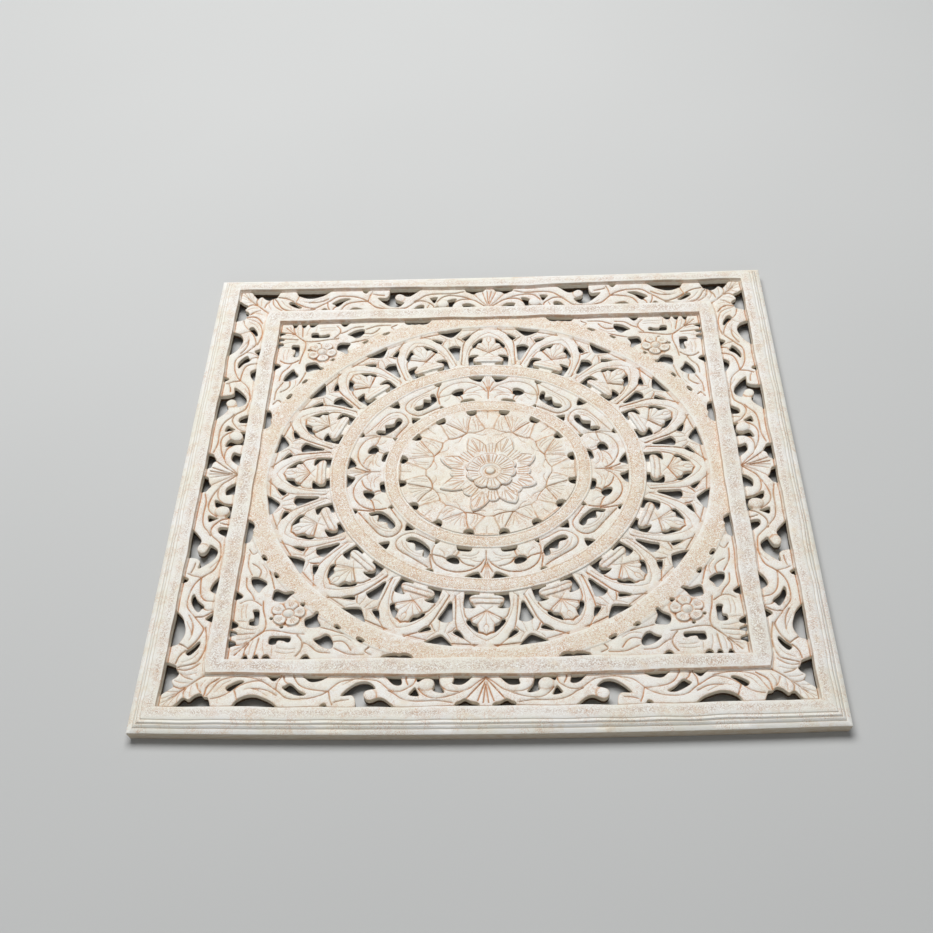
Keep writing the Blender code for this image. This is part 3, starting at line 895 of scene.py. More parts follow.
def base_height(x, y):
    """Height of the plain steps: disc, rings, fields, frame, border, band and moulding."""
    radius = np.hypot(x, y)
    rings = [(0, DISC_TOP), (P3, DISC_TOP)] + member(*RING3, RING3_TOP)
    rings += [(Q3, MIDDLE_TOP), (Q2, MIDDLE_TOP)] + member(*RING2, RING2_TOP)
    rings += [(R2, ARCADE_TOP), (R1, ARCADE_TOP)] + member(*RING1, RING1_TOP) + [(Q1, CORNER_TOP)]
    field = ramp(radius, rings)
    square = [(G, 0.0)] + member(*FRAME, FRAME_TOP) + [(F, BORDER_TOP[0]), (E, BORDER_TOP[1])]
    square += member(*BAND, TOP)[:-1] + [(BAND[1] - 0.2, TOP - 0.1)] + MOULDING
    outer = ramp(y, square)
    share = np.clip((y - G) / (FRAME[0] - G), 0.0, 1.0)
    return np.where(y < FRAME[0], field + (FRAME_TOP - 0.5 - field) * share, outer)


def depth_inside(points, outline):
    """How far inside a closed outline each point lies, and nothing outside it."""
    found = np.zeros(len(points))
    chosen = np.flatnonzero(within(points, outline))
    if len(chosen):
        found[chosen] = distance(points[chosen], [outline + outline[:1]])
    return found


def dome(away, radius, rise):
    """Height of a dome over the distance from its middle."""
    return rise * np.clip(1 - (away / radius) ** 2, 0, 1) ** 0.6


def figures_height(points):
    """Rise of the small raised figures above the plain steps, and fall of the sunk ones."""
    x, y = points[:, 0], points[:, 1]
    angle, radius = np.degrees(np.arctan2(x, y)), np.hypot(x, y)
    rise = np.zeros(len(points))

    away = np.abs((angle + 11.25) % 22.5 - 11.25)
    edge = ramp(radius, BAR)
    up = ramp(radius, BAR_PROFILE)
    crown = 1 - BAR_ROUND * smooth(away / edge, 0.72, 1.0)
    on_bar = (away < edge + 0.6) * (radius > BAR[0][0] - 1) * (radius < BAR[-1][0])
    rise += BAR_RISE * up * crown * on_bar

    fans, wedges = figure_outlines()
    for outline in fans:
        rise += FAN_RISE * smooth(depth_inside(points, outline), 0, 1.6)
    for outline in wedges:
        sunk = smooth(depth_inside(points, outline), 0, 0.9)
        rise -= WEDGE_DEPTH * sunk * np.clip((radius - WEDGE_FALL[0]) / WEDGE_FALL[1], 0.25, 1)

    for middle, size, top in ((KNOB, KNOB_RADIUS, KNOB_RISE), (BULB, BULB_RADIUS, BULB_RISE)):
        rise += dome(np.hypot(x - middle[0], y - middle[1]), size, top)

    dx, dy = x - FLOWER[0], y - FLOWER[1]
    away = np.hypot(dx, dy)
    edge = flower_edge(np.degrees(np.arctan2(dy, dx)) - FLOWER_TURN)
    petals = smooth(edge - away, 0, 1.4) * (FLOWER_RISE - 1.5 * smooth(away, 14, 5))
    groove, depth, groove_width = FLOWER_GROOVE
    collar, height, collar_width = FLOWER_COLLAR
    middle = dome(away, *FLOWER_BUTTON) - depth * bell(away - groove, groove_width)
    middle += height * bell(away - collar, collar_width)
    rise += petals + np.where(away < 11, middle, 0.0)
    return rise + LID_RISE * smooth(depth_inside(points, polars(LEAF_LID)), 0, 3.0)


def gathered(away, kind):
    """Depth or stain at a distance from its line, of a kind that has an amount and a spread."""
    amount, spread = kind
    return amount * bell(away, spread)


def rounded(away, kind):
    """Fall of a worn edge at a distance from it, of a kind that has an amount and a spread."""
    amount, spread = kind
    return amount * np.exp(-away / spread)


def surface(points, holes, deep, fine):
    """Height of the eighth's face, with stain and tint."""
    x, y = points[:, 0], points[:, 1]
    radius = np.hypot(x, y)
    feet = [straight(out, STEP_GAP) for out in (E, F, G)]
    feet += [arc(r, gap=2.0) for r in (P3, Q3, Q2, R2, R1)]
    feet.append(arc(Q1, math.degrees(math.acos(G / Q1)), gap=2.0))
    to_deep = distance(points, deep)
    to_fine = distance(points, fine)
    to_hole = distance(points, [hole + hole[:1] for hole in holes])
    to_foot = distance(points, feet)
    relief = on_relief(x, y) & (to_foot > 0.02) | (to_hole < 0.01)
    carved = relief * smooth(to_foot, 0.0, 1.5)

    height = base_height(x, y) + figures_height(points)
    edge = np.minimum(to_deep, to_hole)
    lower = smooth(beyond(points, deep), -BEVEL_TURN, BEVEL_TURN)
    height -= rounded(edge, PILLOW) * carved
    height -= rounded(to_fine, VEIN_PILLOW) * carved
    height -= gathered(to_deep, LINE_CUT) * carved
    height -= BEVEL * lower * np.exp(-to_deep / BEVEL_WIDTH) * carved
    height -= gathered(to_fine, VEIN_CUT) * carved
    height -= rounded(to_hole, LIP)
    for groove in RING_GROOVES:
        height -= gathered(radius - groove, GROOVE)

    stained = [(to_foot, FOOT_STAIN), (to_hole, LIP_STAIN), (distance(points, figure_edges()), FIGURE_STAIN)]
    stained += [(y - edge, BAND_EDGE_STAIN) for edge in (*FRAME, BAND[0])]
    stained += [(radius - groove, GROOVE_STAIN) for groove in RING_GROOVES]
    stained += [(y - out, (amount, width)) for out, width, amount in MOULDING_STAIN]
    stain = np.maximum(gathered(to_deep, LINE_STAIN), gathered(to_fine, VEIN_STAIN)) * relief
    for away, kind in stained:
        stain = np.maximum(stain, gathered(away, kind))
    stain = np.maximum(stain, RING_SHADE * smooth(radius, *RING_SHADE_FROM) * (radius < R1) * (y < G))

    tint = np.full(len(points), FIELD_TINT)
    for low, high in (BAND, FRAME):
        across = np.minimum(y - low, high - y)
        tint = np.where(across > -STEP, smooth(across, *BAND_RUB), tint)
    tint = np.where(y > BAND[1], 0.0, tint)
    tint = np.where(radius < P3, DISC_TINT, tint)
    for low, high in (RING1, RING2, RING3):
        across = np.minimum(radius - low, high - radius)
        tint = np.where((across > -STEP) & (y < G), RING_TINT * smooth(across, *RING_RUB), tint)
    return height, stain, tint


def lone_edges(faces):
    """Edges that only one face has, in that face's direction."""
    pairs = np.concatenate([faces[:, [0, 1]], faces[:, [1, 2]], faces[:, [2, 0]]])
    size = int(pairs.max()) + 1
    forward = pairs[:, 0] * size + pairs[:, 1]
    backward = pairs[:, 1] * size + pairs[:, 0]
    return pairs[~np.isin(forward, backward)]


def snapped(points):
    """The points, with those almost on the eighth's two straight sides put right on them."""
    points = np.where(np.abs(points) < SNAP, 0.0, points)
    diagonal = np.abs(points[:, 0] - points[:, 1]) < SNAP
    points[diagonal, 0] = points[diagonal, 1]
    return points


def pieces_of(points, faces):
    """Number of the piece that each face belongs to."""
    middle = points[faces].mean(1)
    return piece_of(middle[:, 0], middle[:, 1])


def foot(points):
    """Where the face's edge meets the back: the board's outer sides lean in a little."""
    outside = points.max(-1) > OUT - EDGE_CLOSE
    return np.where(outside[..., None], points * (FOOT / OUT), points)


def back_mesh(flat, rims, holes):
    """The flat back of the eighth: points, faces and the back's number of each rim corner."""
    edges = np.unique(np.sort(np.concatenate(rims), 1), axis=0)
    used = np.unique(edges)
    place = np.full(len(flat), -1)
    place[used] = np.arange(len(used))
    corners = [tuple(point) for point in foot(flat[used])]
    lines = [tuple(int(place[i]) for i in edge) for edge in edges]
    for path in [straight(out, BACK_GAP) for out in HOLLOW] + [[(0.0, FOOT), (0.0, 0.0), (FOOT, FOOT)]]:
        lines += linked(len(corners), len(path))
        corners += path
    made = delaunay_2d_cdt([Vector(point) for point in corners], lines, [], 0, MERGE, True)
    back = np.array([tuple(point) for point in made[0]])
    source = {old: new for new, olds in enumerate(made[3]) for old in olds}
    faces = clean(back, np.array(made[2]), [(0.0, 0.0), (0.0, FOOT), (FOOT, FOOT)], holes)
    return snapped(back), faces, {int(i): source[int(place[i])] for i in used}


def eighth():
    """Each piece's share of the eighth: corners, attributes, faces and their materials."""
    flat, faces, holes, deep, fine = flat_mesh()
    flat = snapped(flat)
    height, stain, tint = surface(flat, holes, deep, fine)
    piece = pieces_of(flat, faces)
    rims = []
    for number in range(len(PIECES)):
        edges = lone_edges(faces[piece == number])
        ends = flat[edges]
        on_seam = (ends[:, :, 0] == 0.0).all(1) | (ends[:, :, 0] == ends[:, :, 1]).all(1)
        rims.append(edges[~on_seam])
    back, back_faces, below = back_mesh(flat, rims, holes)
    low = np.where(back[:, 1] < HOLLOW[1] - EDGE_CLOSE, UNDER, 0.0)
    back_piece = pieces_of(back, back_faces)

    start = len(flat)
    corners = np.vstack([np.column_stack([flat, height]), np.column_stack([back, low])])
    values = np.vstack([np.column_stack([stain, tint, np.ones(len(flat))]), np.zeros((len(back), 3))])
    found = []
    for number in range(len(PIECES)):
        a, b = rims[number].T
        la, lb = (np.array([start + below[int(i)] for i in end]) for end in (a, b))
        walls = np.vstack([np.column_stack([b, a, la]), np.column_stack([b, la, lb])])
        top = faces[piece == number]
        under = back_faces[back_piece == number][:, ::-1] + start
        outer = np.minimum(flat[a, 1], flat[b, 1]) > OUT - EDGE_CLOSE
        wall_kind = np.where(np.tile(outer, 2), SIDE, CUT)
        kind = np.concatenate([np.full(len(top), FACE), wall_kind, np.full(len(under), BACK)])
        found.append((np.vstack([top, walls, under]), kind))
    return corners, values, found


def wander(x, y, seed):
    """A slow unevenness, from -1 to 1, as a hand carver leaves."""
    rng = np.random.default_rng(seed)
    total = np.zeros(len(x))
    for _ in range(WAVES):
        length = rng.uniform(*WAVE_LENGTHS)
        turn, phase = rng.uniform(0, 2 * np.pi), rng.uniform(0, 2 * np.pi)
        total += np.sin((x * np.cos(turn) + y * np.sin(turn)) * 2 * np.pi / length + phase)
    return total / WAVE_SUM


def hand_shifts(x, y):
    """How far the carver's layout strays from an even one, rightward and away, in mm."""
    wide, deep = np.abs(x), np.abs(y)
    side_of = np.sign(x)
    hold = ramp(np.maximum(wide, deep), [(0, 1), (BAND[0], 1), (BAND[1], 0.6), (OUT, 0)])
    outside = smooth(np.hypot(x, y), 318, 345) * hold
    sideways = smooth(wide - deep, -5, 35)
    ends = (1 - sideways) * hold

    # the frame and the border, spread to the sides, and the side strips' edge near the camera
    strip = between(wide, 364, 384, 394, 408) * sideways
    in_ends = smooth(deep, 340, 365) * (1 - smooth(wide, *END_SPREAD))
    dx = ramp(wide, SPREAD) * side_of * (1 - in_ends) * outside
    dx += NEAR_SPREAD * side_of * smooth(-y, 60, 160) * strip

    # the far and near strips, drawn outward toward their corners
    outward = between(wide, 230, 290, 372, 400) * smooth(deep, 385, 400)
    dx += END_OUT * side_of * outward * ends

    # the far frame and strip moved away, the corner fields and the side strips lifted
    dy = FAR_SPREAD * smooth(y, 200, 290) * outside * (1 - sideways * smooth(wide, 345, 365))
    fields = np.where(x < 0, *FIELD_LIFT) * ramp(wide, FIELD_SHARE) * between(-y, 50, 220, 300, 335)
    dy += fields + END_LIFT * (smooth(y, 20, 90) + 0.2 * smooth(-y, 100, 170)) * strip
    dy += ramp(x, FAR_RISE) * smooth(y, 366, 385) * ends

    # the strips' patterns drawn in toward their middles
    pinch = np.where(x < 0, *SIDE_PINCH) * y * sideways * smooth(wide, 340, 365)
    dy -= pinch * (1 - smooth(deep, 350, 400)) * hold
    dx -= END_PINCH * x * smooth(deep, 335, 375) * (1 - smooth(wide, 345, 400)) * ends

    # the near frame tapers toward its corners, and the middle of the field sits low
    taper = between(-y, 340, 362, 368, 410) * np.clip((wide - 110) / 250, 0, 1)
    dy += NEAR_TAPER * taper * (1 - smooth(wide, 368, 410))
    dy -= SLUMP * (1 - smooth(np.hypot(x, y - 90), 40, 230))
    return dx, dy


def aged(points, face):
    """The corners on the board as it is: edges bowed, flower off centre, carving a little uneven."""
    x, y, z = points.T
    radius = np.hypot(x, y)
    square = np.maximum(np.abs(x), np.abs(y))
    across = np.clip(1 - (x / BOW_HALF) ** 2, 0, None)
    begun = np.clip((radius - BOW_FROM[0]) / (BOW_FROM[1] - BOW_FROM[0]), 0, 1)
    near = NEAR_BOW * across * (y / BOW_HALF) ** 2 * begun
    far = FAR_BOW * across * np.clip((y - FRAME[1]) / (BOW_HALF - FRAME[1]), 0, None)
    bow = np.where(y < 0, near, far)
    hub = 1 - smooth(radius, *HUB_RADII)
    loose = np.where(square < BAND[0], UNEVEN, UNEVEN * smooth(square, OUT, BAND[1]))
    right, away = hand_shifts(x, y)
    dx = HUB_SHIFT[0] * hub + loose * wander(x, y, 3) + right
    dy = HUB_SHIFT[1] * hub + loose * wander(x, y, 4) - bow + away
    inner = smooth(square, BAND[0], BAND[0] - 6)
    slow, quick = UNEVEN_HEIGHT
    dz = face * inner * (slow * wander(x, y, 5) + quick * wander(3 * x, 3 * y, 6))
    return np.column_stack([x + dx, y + dy - HANG, z + dz]) * MM


def whole(corners, values, faces, kind):
    """The eighth's share of a piece, mirrored and turned to all eight places and joined."""
    used = np.unique(faces)
    number = np.full(len(corners), -1)
    number[used] = np.arange(len(used))
    part, value, tile = corners[used], values[used], number[faces]
    points, wound = [], []
    for mirror in (1, -1):
        for cos, sin in ((1, 0), (0, 1), (-1, 0), (0, -1)):
            x, y = part[:, 0] * mirror, part[:, 1]
            points.append(np.column_stack([x * cos - y * sin, x * sin + y * cos, part[:, 2]]))
            shift = tile + len(part) * len(wound)
            wound.append(shift if mirror > 0 else shift[:, ::-1])
    points = np.vstack(points)
    microns = np.round(points * 1000).astype(np.int64)
    _, first, where = np.unique(microns, axis=0, return_index=True, return_inverse=True)
    made = where.reshape(-1)[np.vstack(wound)]
    whole_kind = np.tile(kind, 8)
    good = (made[:, 0] != made[:, 1]) & (made[:, 1] != made[:, 2]) & (made[:, 0] != made[:, 2])
    return points[first], np.tile(value, (8, 1))[first], made[good], whole_kind[good]


def outline_of(turns, petals, foot, half, power):
    """Radius of an outline of petals, each a direction and a tip, with a foot between them."""
    found = np.full(np.shape(turns), foot)
    for turn, tip in petals:
        away = np.abs((turns - turn + 180) % 360 - 180) / half
        found = np.maximum(found, tip - (tip - foot) * away ** power)
    return found


def star_edge(turns):
    """Radius of the star's outline in each direction."""
    leaves = outline_of(turns, STAR_LEAVES, STAR_FOOT, 15.5, 1.35)
    return np.maximum(leaves, outline_of(turns, STAR_LOBES, STAR_FOOT, 9.0, 2.4))


def petal_edge(turns):
    """Radius of the middle flower's outline in each direction."""
    return outline_of(turns, PETALS, PETAL_FOOT, 18.0, 2.6)


def rays(turns, start, end):
    """Straight lines outward, each in its direction, from a start to an end radius."""
    return [[polar(turn, start), polar(turn, end)] for turn in turns]


def bloom_lines():
    """The deep lines and the veins of the star and the middle flower."""
    deep = []
    fine = []
    for turn, tip in STAR_LEAVES:
        fine += rays([turn - 1.0, turn + 1.0], 44, tip - 8)
        for side in (-1, 1):
            fine.append([polar(turn + side * 3.0, 46), polar(turn + side * 8.5, 0.5 * tip + 27)])
            fine.append([polar(turn + side * 6.5, 45), polar(turn + side * 12.5, 0.3 * tip + 34)])
            rim = turn + side * np.linspace(2.0, 13.0, 8)
            fine.append([polar(t, float(star_edge(t)) - 3.6) for t in rim])
    for turn, tip in STAR_LOBES:
        deep += rays([turn - 8.6, turn + 8.6], 40, STAR_FOOT)
        fine += rays([turn - 2.8, turn + 2.8], 41, tip - 2.5)
    feet = [turn for turn, tip in PETALS]
    for turn, after in zip(feet, feet[1:] + [feet[0] + 360]):
        deep += rays([(turn + after) / 2], 17.5, PETAL_FOOT)
    for turn, tip in PETALS:
        fine += rays([turn - 5, turn + 5], 19, tip - 6)
        rim = np.linspace(turn - 11, turn + 11, 6)
        fine.append([polar(t, float(petal_edge(t)) - 3.0) for t in rim])
    return deep, fine


def bloom_surface(turn, radius, outer, petal):
    """Height and stain of the star and the flower, with the star's edge and the flower's edge."""
    x, y = radius * np.sin(np.radians(turn)), radius * np.cos(np.radians(turn))
    points = np.column_stack([x.ravel(), y.ravel()])
    to_deep, to_fine = (distance(points, lines).reshape(radius.shape) for lines in bloom_lines())
    to_edge = outer - radius
    to_petal = petal - radius

    # the star: edge rounded down, rim raised, leaves ridged, foot of the flower sunk
    leaf = np.min([np.abs((turn - t + 180) % 360 - 180) for t, tip in STAR_LEAVES], axis=0)
    height = DISC_TOP + STAR_RISE - 0.7 * np.exp(-np.maximum(to_edge, 0) / 0.9)
    height += 0.45 * bell(to_edge - 1.9, 1.2) - 0.35 * smooth(to_edge, 3.0, 6.0)
    height += 0.7 * smooth(leaf, 7.0, 0.0) * smooth(to_edge, 0, 6)
    height -= 0.7 * smooth(radius, 56, 42)

    # the flower: edge rounded down, rim raised, petals falling to the dish
    flower = DISC_TOP + STAR_RISE + PETAL_RISE - 0.8 * np.exp(-np.maximum(to_petal, 0) / 1.1)
    flower += 0.45 * bell(to_petal - 1.8, 1.1)
    flower -= 1.5 * smooth(radius, 32, 17)
    blend = smooth(radius, *DISH_FADE)
    flower = flower * (1 - blend) + ramp(radius, DISH) * blend
    height = np.where(to_petal >= -1e-6, flower, height)
    height -= (0.9 * bell(to_deep, 0.9) + 0.55 * bell(to_fine, 0.7)) * smooth(radius, 16, 18)

    stain = np.maximum(bell(to_deep, 1.1), 0.9 * bell(to_fine, 0.85)) * (radius > 16)
    stain = np.maximum(stain, bell(np.minimum(to_petal, 0), 1.3) * (to_petal < 0))
    for ring, width, amount in DISH_STAIN:
        stain = np.maximum(stain, amount * bell(radius - ring, width))
    return points, height, stain


def bloom():
    """The star with the middle flower on it: corners, attributes and faces, closed below."""
    turns = np.arange(BLOOM_TURNS) * 360 / BLOOM_TURNS
    outer, petal = star_edge(turns), petal_edge(turns)
    inner = petal + BLOOM_SKIRT
    rows = [petal * share for share in [*np.linspace(0.02, 0.46, 22), *np.linspace(0.5, 1, 15)]]
    rows += [inner + (outer - petal - BLOOM_SKIRT) * share for share in (0, *np.linspace(0.05, 1, 26))]
    rows += [outer + BLOOM_SKIRT] * 2
    radius = np.array(rows)
    points, height, stain = bloom_surface(np.tile(turns, (len(rows), 1)), radius, outer, petal)
    for row, sunk in zip((-2, -1), BLOOM_SUNK):
        height[row] = DISC_TOP - sunk
        stain[row] = 1.0

    count, size = radius.shape
    middles = [(0, 0, DISH[0][1]), (0, 0, DISC_TOP - BLOOM_SUNK[1])]
    corners = np.vstack([np.column_stack([points, height.ravel()]), middles])
    even = np.ones(len(corners))
    values = np.column_stack([np.append(stain.ravel(), (0, 0)), FIELD_TINT * even, even])
    here = np.arange(size)
    after = (here + 1) % size
    faces = [np.column_stack([np.full(size, count * size), after, here])]
    for row in range(count - 1):
        a, b = row * size + here, row * size + after
        faces.append(np.column_stack([a, b, b + size]))
        faces.append(np.column_stack([a, b + size, a + size]))
    last = (count - 1) * size
    faces.append(np.column_stack([np.full(size, count * size + 1), last + here, last + after]))
    return corners, values, np.vstack(faces)


def linear(colour):
    """An 8-bit screen colour as the linear colour that shaders use."""
    return [((value / 255 + 0.055) / 1.055) ** 2.4 for value in colour] + [1.0]


class Looks:
    """A new material, with short calls that add its nodes and link them."""

    def __init__(self, name, roughness, specular):
        self.material = bpy.data.materials.new(name)
        self.material.use_nodes = True
        self.tree = self.material.node_tree
        self.shader = self.tree.nodes["Principled BSDF"]
        self.shader.inputs["Roughness"].default_value = roughness
        self.shader.inputs["Specular IOR Level"].default_value = specular
        self.place = self.add("ShaderNodeTexCoord").outputs["Object"]

    def add(self, kind, values=(), **settings):
        """A node with its settings; values are (socket, number or output) pairs."""
        made = self.tree.nodes.new(kind)
        for name, value in settings.items():
            setattr(made, name, value)
        for socket, value in values:
            if isinstance(value, bpy.types.NodeSocket):
                self.tree.links.new(value, made.inputs[socket])
            else:
                made.inputs[socket].default_value = value
        return made

    def attribute(self, name):
        """A number that the mesh holds at its corners."""
        return self.add("ShaderNodeAttribute", attribute_name=name).outputs["Fac"]

    def stretched(self, x, y, z=1.0):
        """The object's own coordinates, scaled along each axis."""
        values = [(0, self.place), (1, (x, y, z))]
        return self.add("ShaderNodeVectorMath", values, operation="MULTIPLY").outputs[0]

    def noise(self, scale, detail=3.0, rough=0.55, place=None, twist=0.0):
        """Cloudy noise about 0.5, with scale in cells per metre."""
        values = [("Vector", place or self.place), ("Scale", scale), ("Detail", detail),
                  ("Roughness", rough), ("Distortion", twist)]
        return self.add("ShaderNodeTexNoise", values).outputs["Fac"]

    def fade(self, value, low, high, start=0.0, end=1.0):
        """A soft step from start to end as value goes from low to high."""
        sockets = ("Value", "From Min", "From Max", "To Min", "To Max")
        values = zip(sockets, (value, low, high, start, end))
        return self.add("ShaderNodeMapRange", values, interpolation_type="SMOOTHSTEP").outputs[0]

    def cloud(self, scale, detail, rough, low, high, start=0.0, end=1.0):
        """Patches of noise, with a soft step from start to end between them."""
        return self.fade(self.noise(scale, detail, rough), low, high, start, end)

    def maths(self, operation, a, b=0.0, clamp=True):
        """The result of a sum on two numbers, kept between 0 and 1 unless clamp is off."""
        values = [(0, a), (1, b)]
        return self.add("ShaderNodeMath", values, operation=operation, use_clamp=clamp).outputs[0]

    def mixed(self, share, *ends):
        """One colour turning to another as share goes from 0 to 1; a plain triple is a screen colour."""
        first, second = (linear(end) if isinstance(end, tuple) else end for end in ends)
        values = [(0, share), (6, first), (7, second)]
        return self.add("ShaderNodeMix", values, data_type="RGBA").outputs[2]

    def chosen(self, share, a, b):
        """Number a turning to number b as share goes from 0 to 1."""
        return self.add("ShaderNodeMix", [(0, share), (2, a), (3, b)], data_type="FLOAT").outputs[0]

    def finish(self, colour, bump, strength, depth):
        """The material, with its colour and a bump of a strength and a depth in metres."""
        self.tree.links.new(colour, self.shader.inputs["Base Color"])
        values = [("Strength", strength), ("Distance", depth), ("Height", bump)]
        self.tree.links.new(self.add("ShaderNodeBump", values).outputs[0], self.shader.inputs["Normal"])
        return self.material


def whitewash():
    """Cream wash brushed over carved wood: rubbed thin on the flats, brown stain left in the cuts."""
    looks = Looks("whitewash", 0.62, 0.28)
    stain, tint, upright, rim = (looks.attribute(name) for name in ("stain", "tint", "upright", "rim"))
    patches = looks.noise(16.0, 4.0, 0.6)
    colour = looks.mixed(looks.fade(patches, 0.36, 0.62), CREAM, CHALK)

    # brush strokes, along the side that they lie on
    across, lengthwise = (looks.noise(1.0, 4.0, 0.62, looks.stretched(*scale)) for scale in BRUSH_SCALES)
    along = looks.chosen(upright, across, lengthwise)
    colour = looks.mixed(looks.fade(along, 0.52, 0.74, 0.0, 0.35), colour, BEIGE)

    # wash rubbed through to the wood in fine grains, with chalky flecks between them
    amount = looks.maths("ABSOLUTE", tint)
    rubbed = looks.mixed(looks.fade(tint, -0.2, 0.2), TAN, PINKISH)
    grains = looks.noise(560.0, 3.0, 0.7, twist=0.5)
    worn = looks.cloud(34.0, 4.0, 0.65, 0.30, 0.66)
    thin = looks.maths("MULTIPLY", amount, looks.fade(grains, 0.44, 0.55, 0.05, 1.0))
    thin = looks.maths("MULTIPLY", thin, looks.fade(worn, 0.0, 1.0, 0.45, 0.95))
    colour = looks.mixed(thin, colour, rubbed)
    flecks = looks.cloud(360.0, 3.0, 0.6, 0.54, 0.62, 0.0, 0.95)
    colour = looks.mixed(looks.maths("MULTIPLY", flecks, amount), colour, CHALK)

    # curled cracks in the wash, everywhere on the rings and here and there elsewhere
    swirls = looks.noise(150.0, 4.0, 0.6, twist=2.4)
    curls = looks.maths("ABSOLUTE", looks.maths("SUBTRACT", swirls, 0.5, clamp=False))
    crackle = looks.fade(curls, 0.0, 0.045, 1.0, 0.0)
    some = looks.cloud(42.0, 3.0, 0.6, 0.44, 0.62, 0.0, 0.6)
    some = looks.maths("ADD", some, looks.fade(tint, -0.8, -0.2, 0.7, 0.0))
    colour = looks.mixed(looks.maths("MULTIPLY", crackle, some), colour, STAIN)

    # stain left in the cuts, broken up, greyer here and there and on the moulding
    broken = looks.chosen(rim, looks.cloud(95.0, 4.0, 0.65, 0.30, 0.55, 0.5, 1.0), 0.8)
    left = looks.maths("MULTIPLY", stain, broken)
    grey = looks.maths("MAXIMUM", rim, looks.cloud(13.0, 3.0, 0.6, 0.42, 0.56, 0.5, 0.0))
    line = looks.mixed(grey, STAIN, LINE_GREY)
    colour = looks.mixed(looks.fade(left, 0.05, 0.95, 0.0, 0.92), colour, line)
    colour = looks.mixed(looks.cloud(48.0, 5.0, 0.7, 0.54, 0.68, 0.0, 0.4), colour, WARM)

    rough = looks.fade(patches, 0.3, 0.7, 0.54, 0.70)
    looks.tree.links.new(rough, looks.shader.inputs["Roughness"])
    bump = looks.maths("ADD", looks.maths("MULTIPLY", crackle, 0.6), along)
    return looks.finish(colour, bump, 0.35, 0.0006)


def cut_wood():
    """Sides of the openings: wash near the face, bare brown wood below, painted dark as painted shade."""
    looks = Looks("cut_wood", 0.7, 0.2)
    height = looks.add("ShaderNodeSeparateXYZ", [(0, looks.place)]).outputs["Z"]
    above = looks.maths("SUBTRACT", height, looks.attribute("reach"), clamp=False)
    uneven = looks.maths("MULTIPLY", looks.noise(240.0, 4.0, 0.6), 0.002)
    ragged = looks.maths("ADD", above, uneven, clamp=False)
    grain = looks.noise(1.0, 4.0, 0.6, looks.stretched(180, 180, 900))
    # painted shade: the bare wood below the wash is painted dark so that the openings read shadowed
    wood = looks.mixed(grain, DARK_WOOD_AND_SHADE, WOOD_AND_SHADE)
    washed = looks.mixed(looks.fade(grain, 0.4, 0.75), SIDE_WASH, SIDE_TAN)
    colour = looks.mixed(looks.fade(ragged, 0.0004, 0.0018), wood, washed)
    return looks.finish(colour, grain, 0.4, 0.0006)


def board_edge():
    """The board's outer sides: the wash over the wood, painted darker as painted shade, with grey streaks.
    """
    looks = Looks("board_edge", 0.7, 0.2)
    streaks = looks.noise(1.0, 4.0, 0.6, looks.stretched(90, 90, 900))
    # painted shade: the outer sides are painted darker than the openings' sides, standing for the shade they
    # lie in
    colour = looks.mixed(looks.fade(streaks, 0.35, 0.7), SHADED_EDGE_WASH, LINE_GREY)
    return looks.finish(colour, streaks, 0.3, 0.0004)


def bare_wood():
    """The back: planed brown wood, unpainted, darkened as painted shade for the space under the openings."""
    looks = Looks("bare_wood", 0.66, 0.25)
    grain = looks.noise(1.0, 5.0, 0.6, looks.stretched(9, 230), twist=0.8)
    fine = looks.noise(1.0, 3.0, 0.6, looks.stretched(60, 1900))
    # painted shade: the back's wood is darkened so that the space under the openings reads shadowed
    colour = looks.mixed(looks.fade(grain, 0.34, 0.68), WOOD_AND_SHADE, PALE_WOOD_AND_SHADE)
    colour = looks.mixed(looks.fade(fine, 0.52, 0.72, 0.0, 0.45), colour, DARK_WOOD_AND_SHADE)
    colour = looks.mixed(looks.cloud(7.0, 3.0, 0.55, 0.55, 0.75, 0.0, 0.4), colour, DARK_WOOD_AND_SHADE)
    return looks.finish(colour, looks.maths("ADD", grain, fine), 0.3, 0.0005)


def studio_floor():
    """Seamless pale grey paper."""
    looks = Looks("studio_floor", 0.85, 0.1)
    colour = looks.mixed(looks.noise(1.2, 2.0, 0.5), *FLOOR_TONES)
    return looks.finish(colour, looks.noise(900.0, 2.0), 0.05, 0.0002)


def carved_piece(name, flat, value, made, kinds, materials):
    """One closed piece of the panel, with its stain and wear, riding on the frame."""
    mesh = bpy.data.meshes.new(name)
    mesh.from_pydata(aged(flat, value[:, 2]).tolist(), [], made.tolist())
    mesh.validate()
    upright = smooth(np.abs(flat[:, 0]) - np.abs(flat[:, 1]), -1.0, 1.0)
    square = np.abs(flat[:, :2]).max(1)
    rim = smooth(square, BAND[0] - STEP, BAND[0])
    reach = ramp(square, WASH_REACH) * MM
    labels = ("stain", "tint", "upright", "rim", "reach")
    for label, numbers in zip(labels, (value[:, 0], value[:, 1], upright, rim, reach)):
        layer = mesh.attributes.new(label, "FLOAT", "POINT")
        layer.data.foreach_set("value", numbers.astype(np.float32))
    for number in range(len(materials)):
        mesh.materials.append(materials[number])
    mesh.polygons.foreach_set("material_index", kinds.astype(np.int32))
    mesh.shade_smooth()
    mesh.set_sharp_from_angle(angle=math.radians(SHARP))
    piece = bpy.data.objects.new(name, mesh)
    bpy.context.collection.objects.link(piece)
    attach(piece, "root")
    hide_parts(NODE)


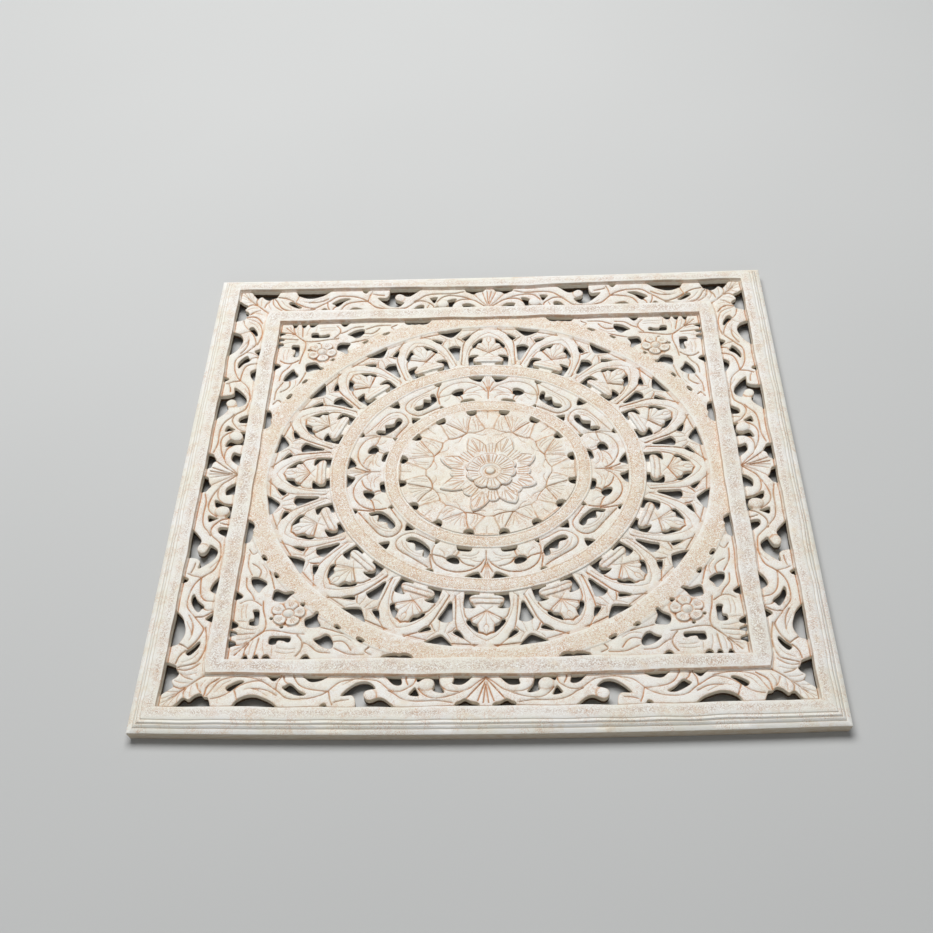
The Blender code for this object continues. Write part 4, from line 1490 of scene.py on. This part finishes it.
def facing(place, aim, roll=0.0):
    """Placement at a place, looking at an aim, rolled by degrees about its line of sight."""
    turn = (Vector(aim) - Vector(place)).to_track_quat("-Z", "Y").to_matrix().to_4x4()
    return Matrix.Translation(place) @ turn @ Matrix.Rotation(math.radians(roll), 4, "Z")


def area_light(name, place, aim, size, power):
    """A soft box at place that faces aim."""
    lamp = bpy.data.lights.new(name, "AREA")
    lamp.shape = "RECTANGLE"
    lamp.size, lamp.size_y = size
    lamp.energy = power
    lamp.color = LIGHT_COLOUR
    light = bpy.data.objects.new(name, lamp)
    light.matrix_world = facing(place, aim)
    bpy.context.collection.objects.link(light)


def studio():
    """Floor, soft light from behind and above, and the camera at the photograph's angle."""
    half = FLOOR_SIZE / 2
    corners = [(-half, -half, 0), (half, -half, 0), (half, half, 0), (-half, half, 0)]
    mesh = bpy.data.meshes.new("floor")
    mesh.from_pydata(corners, [], [(0, 1, 2, 3)])
    mesh.materials.append(studio_floor())
    floor = bpy.data.objects.new("floor", mesh)
    floor.location = (0, -HANG * MM, FLOOR_LEVEL)
    bpy.context.collection.objects.link(floor)

    for name, place, size, power in LIGHTS:
        area_light(name, place, (0, -HANG * MM, 0), size, power)
    world = bpy.data.worlds.new("studio")
    world.use_nodes = True
    air = world.node_tree.nodes["Background"].inputs
    air["Color"].default_value = linear(AIR)
    air["Strength"].default_value = AIR_STRENGTH
    bpy.context.scene.world = world

    camera = bpy.data.objects.new("camera", bpy.data.cameras.new("camera"))
    camera.data.lens = LENS
    camera.data.sensor_width = SENSOR
    camera.matrix_world = facing(CAMERA, CAMERA_AIM, CAMERA_ROLL)
    bpy.context.collection.objects.link(camera)
    bpy.context.scene.camera = camera
    bpy.context.scene.view_settings.view_transform = "Standard"


corners, values, shares = eighth()
materials = {FACE: whitewash(), CUT: cut_wood(), BACK: bare_wood(), SIDE: board_edge()}
for name, (faces, kind) in zip(PIECES, shares):
    carved_piece(name, *whole(corners, values, faces, kind), materials)
corners, values, faces = bloom()
carved_piece("middle_flower", corners, values, faces, np.full(len(faces), FACE), materials)
studio()
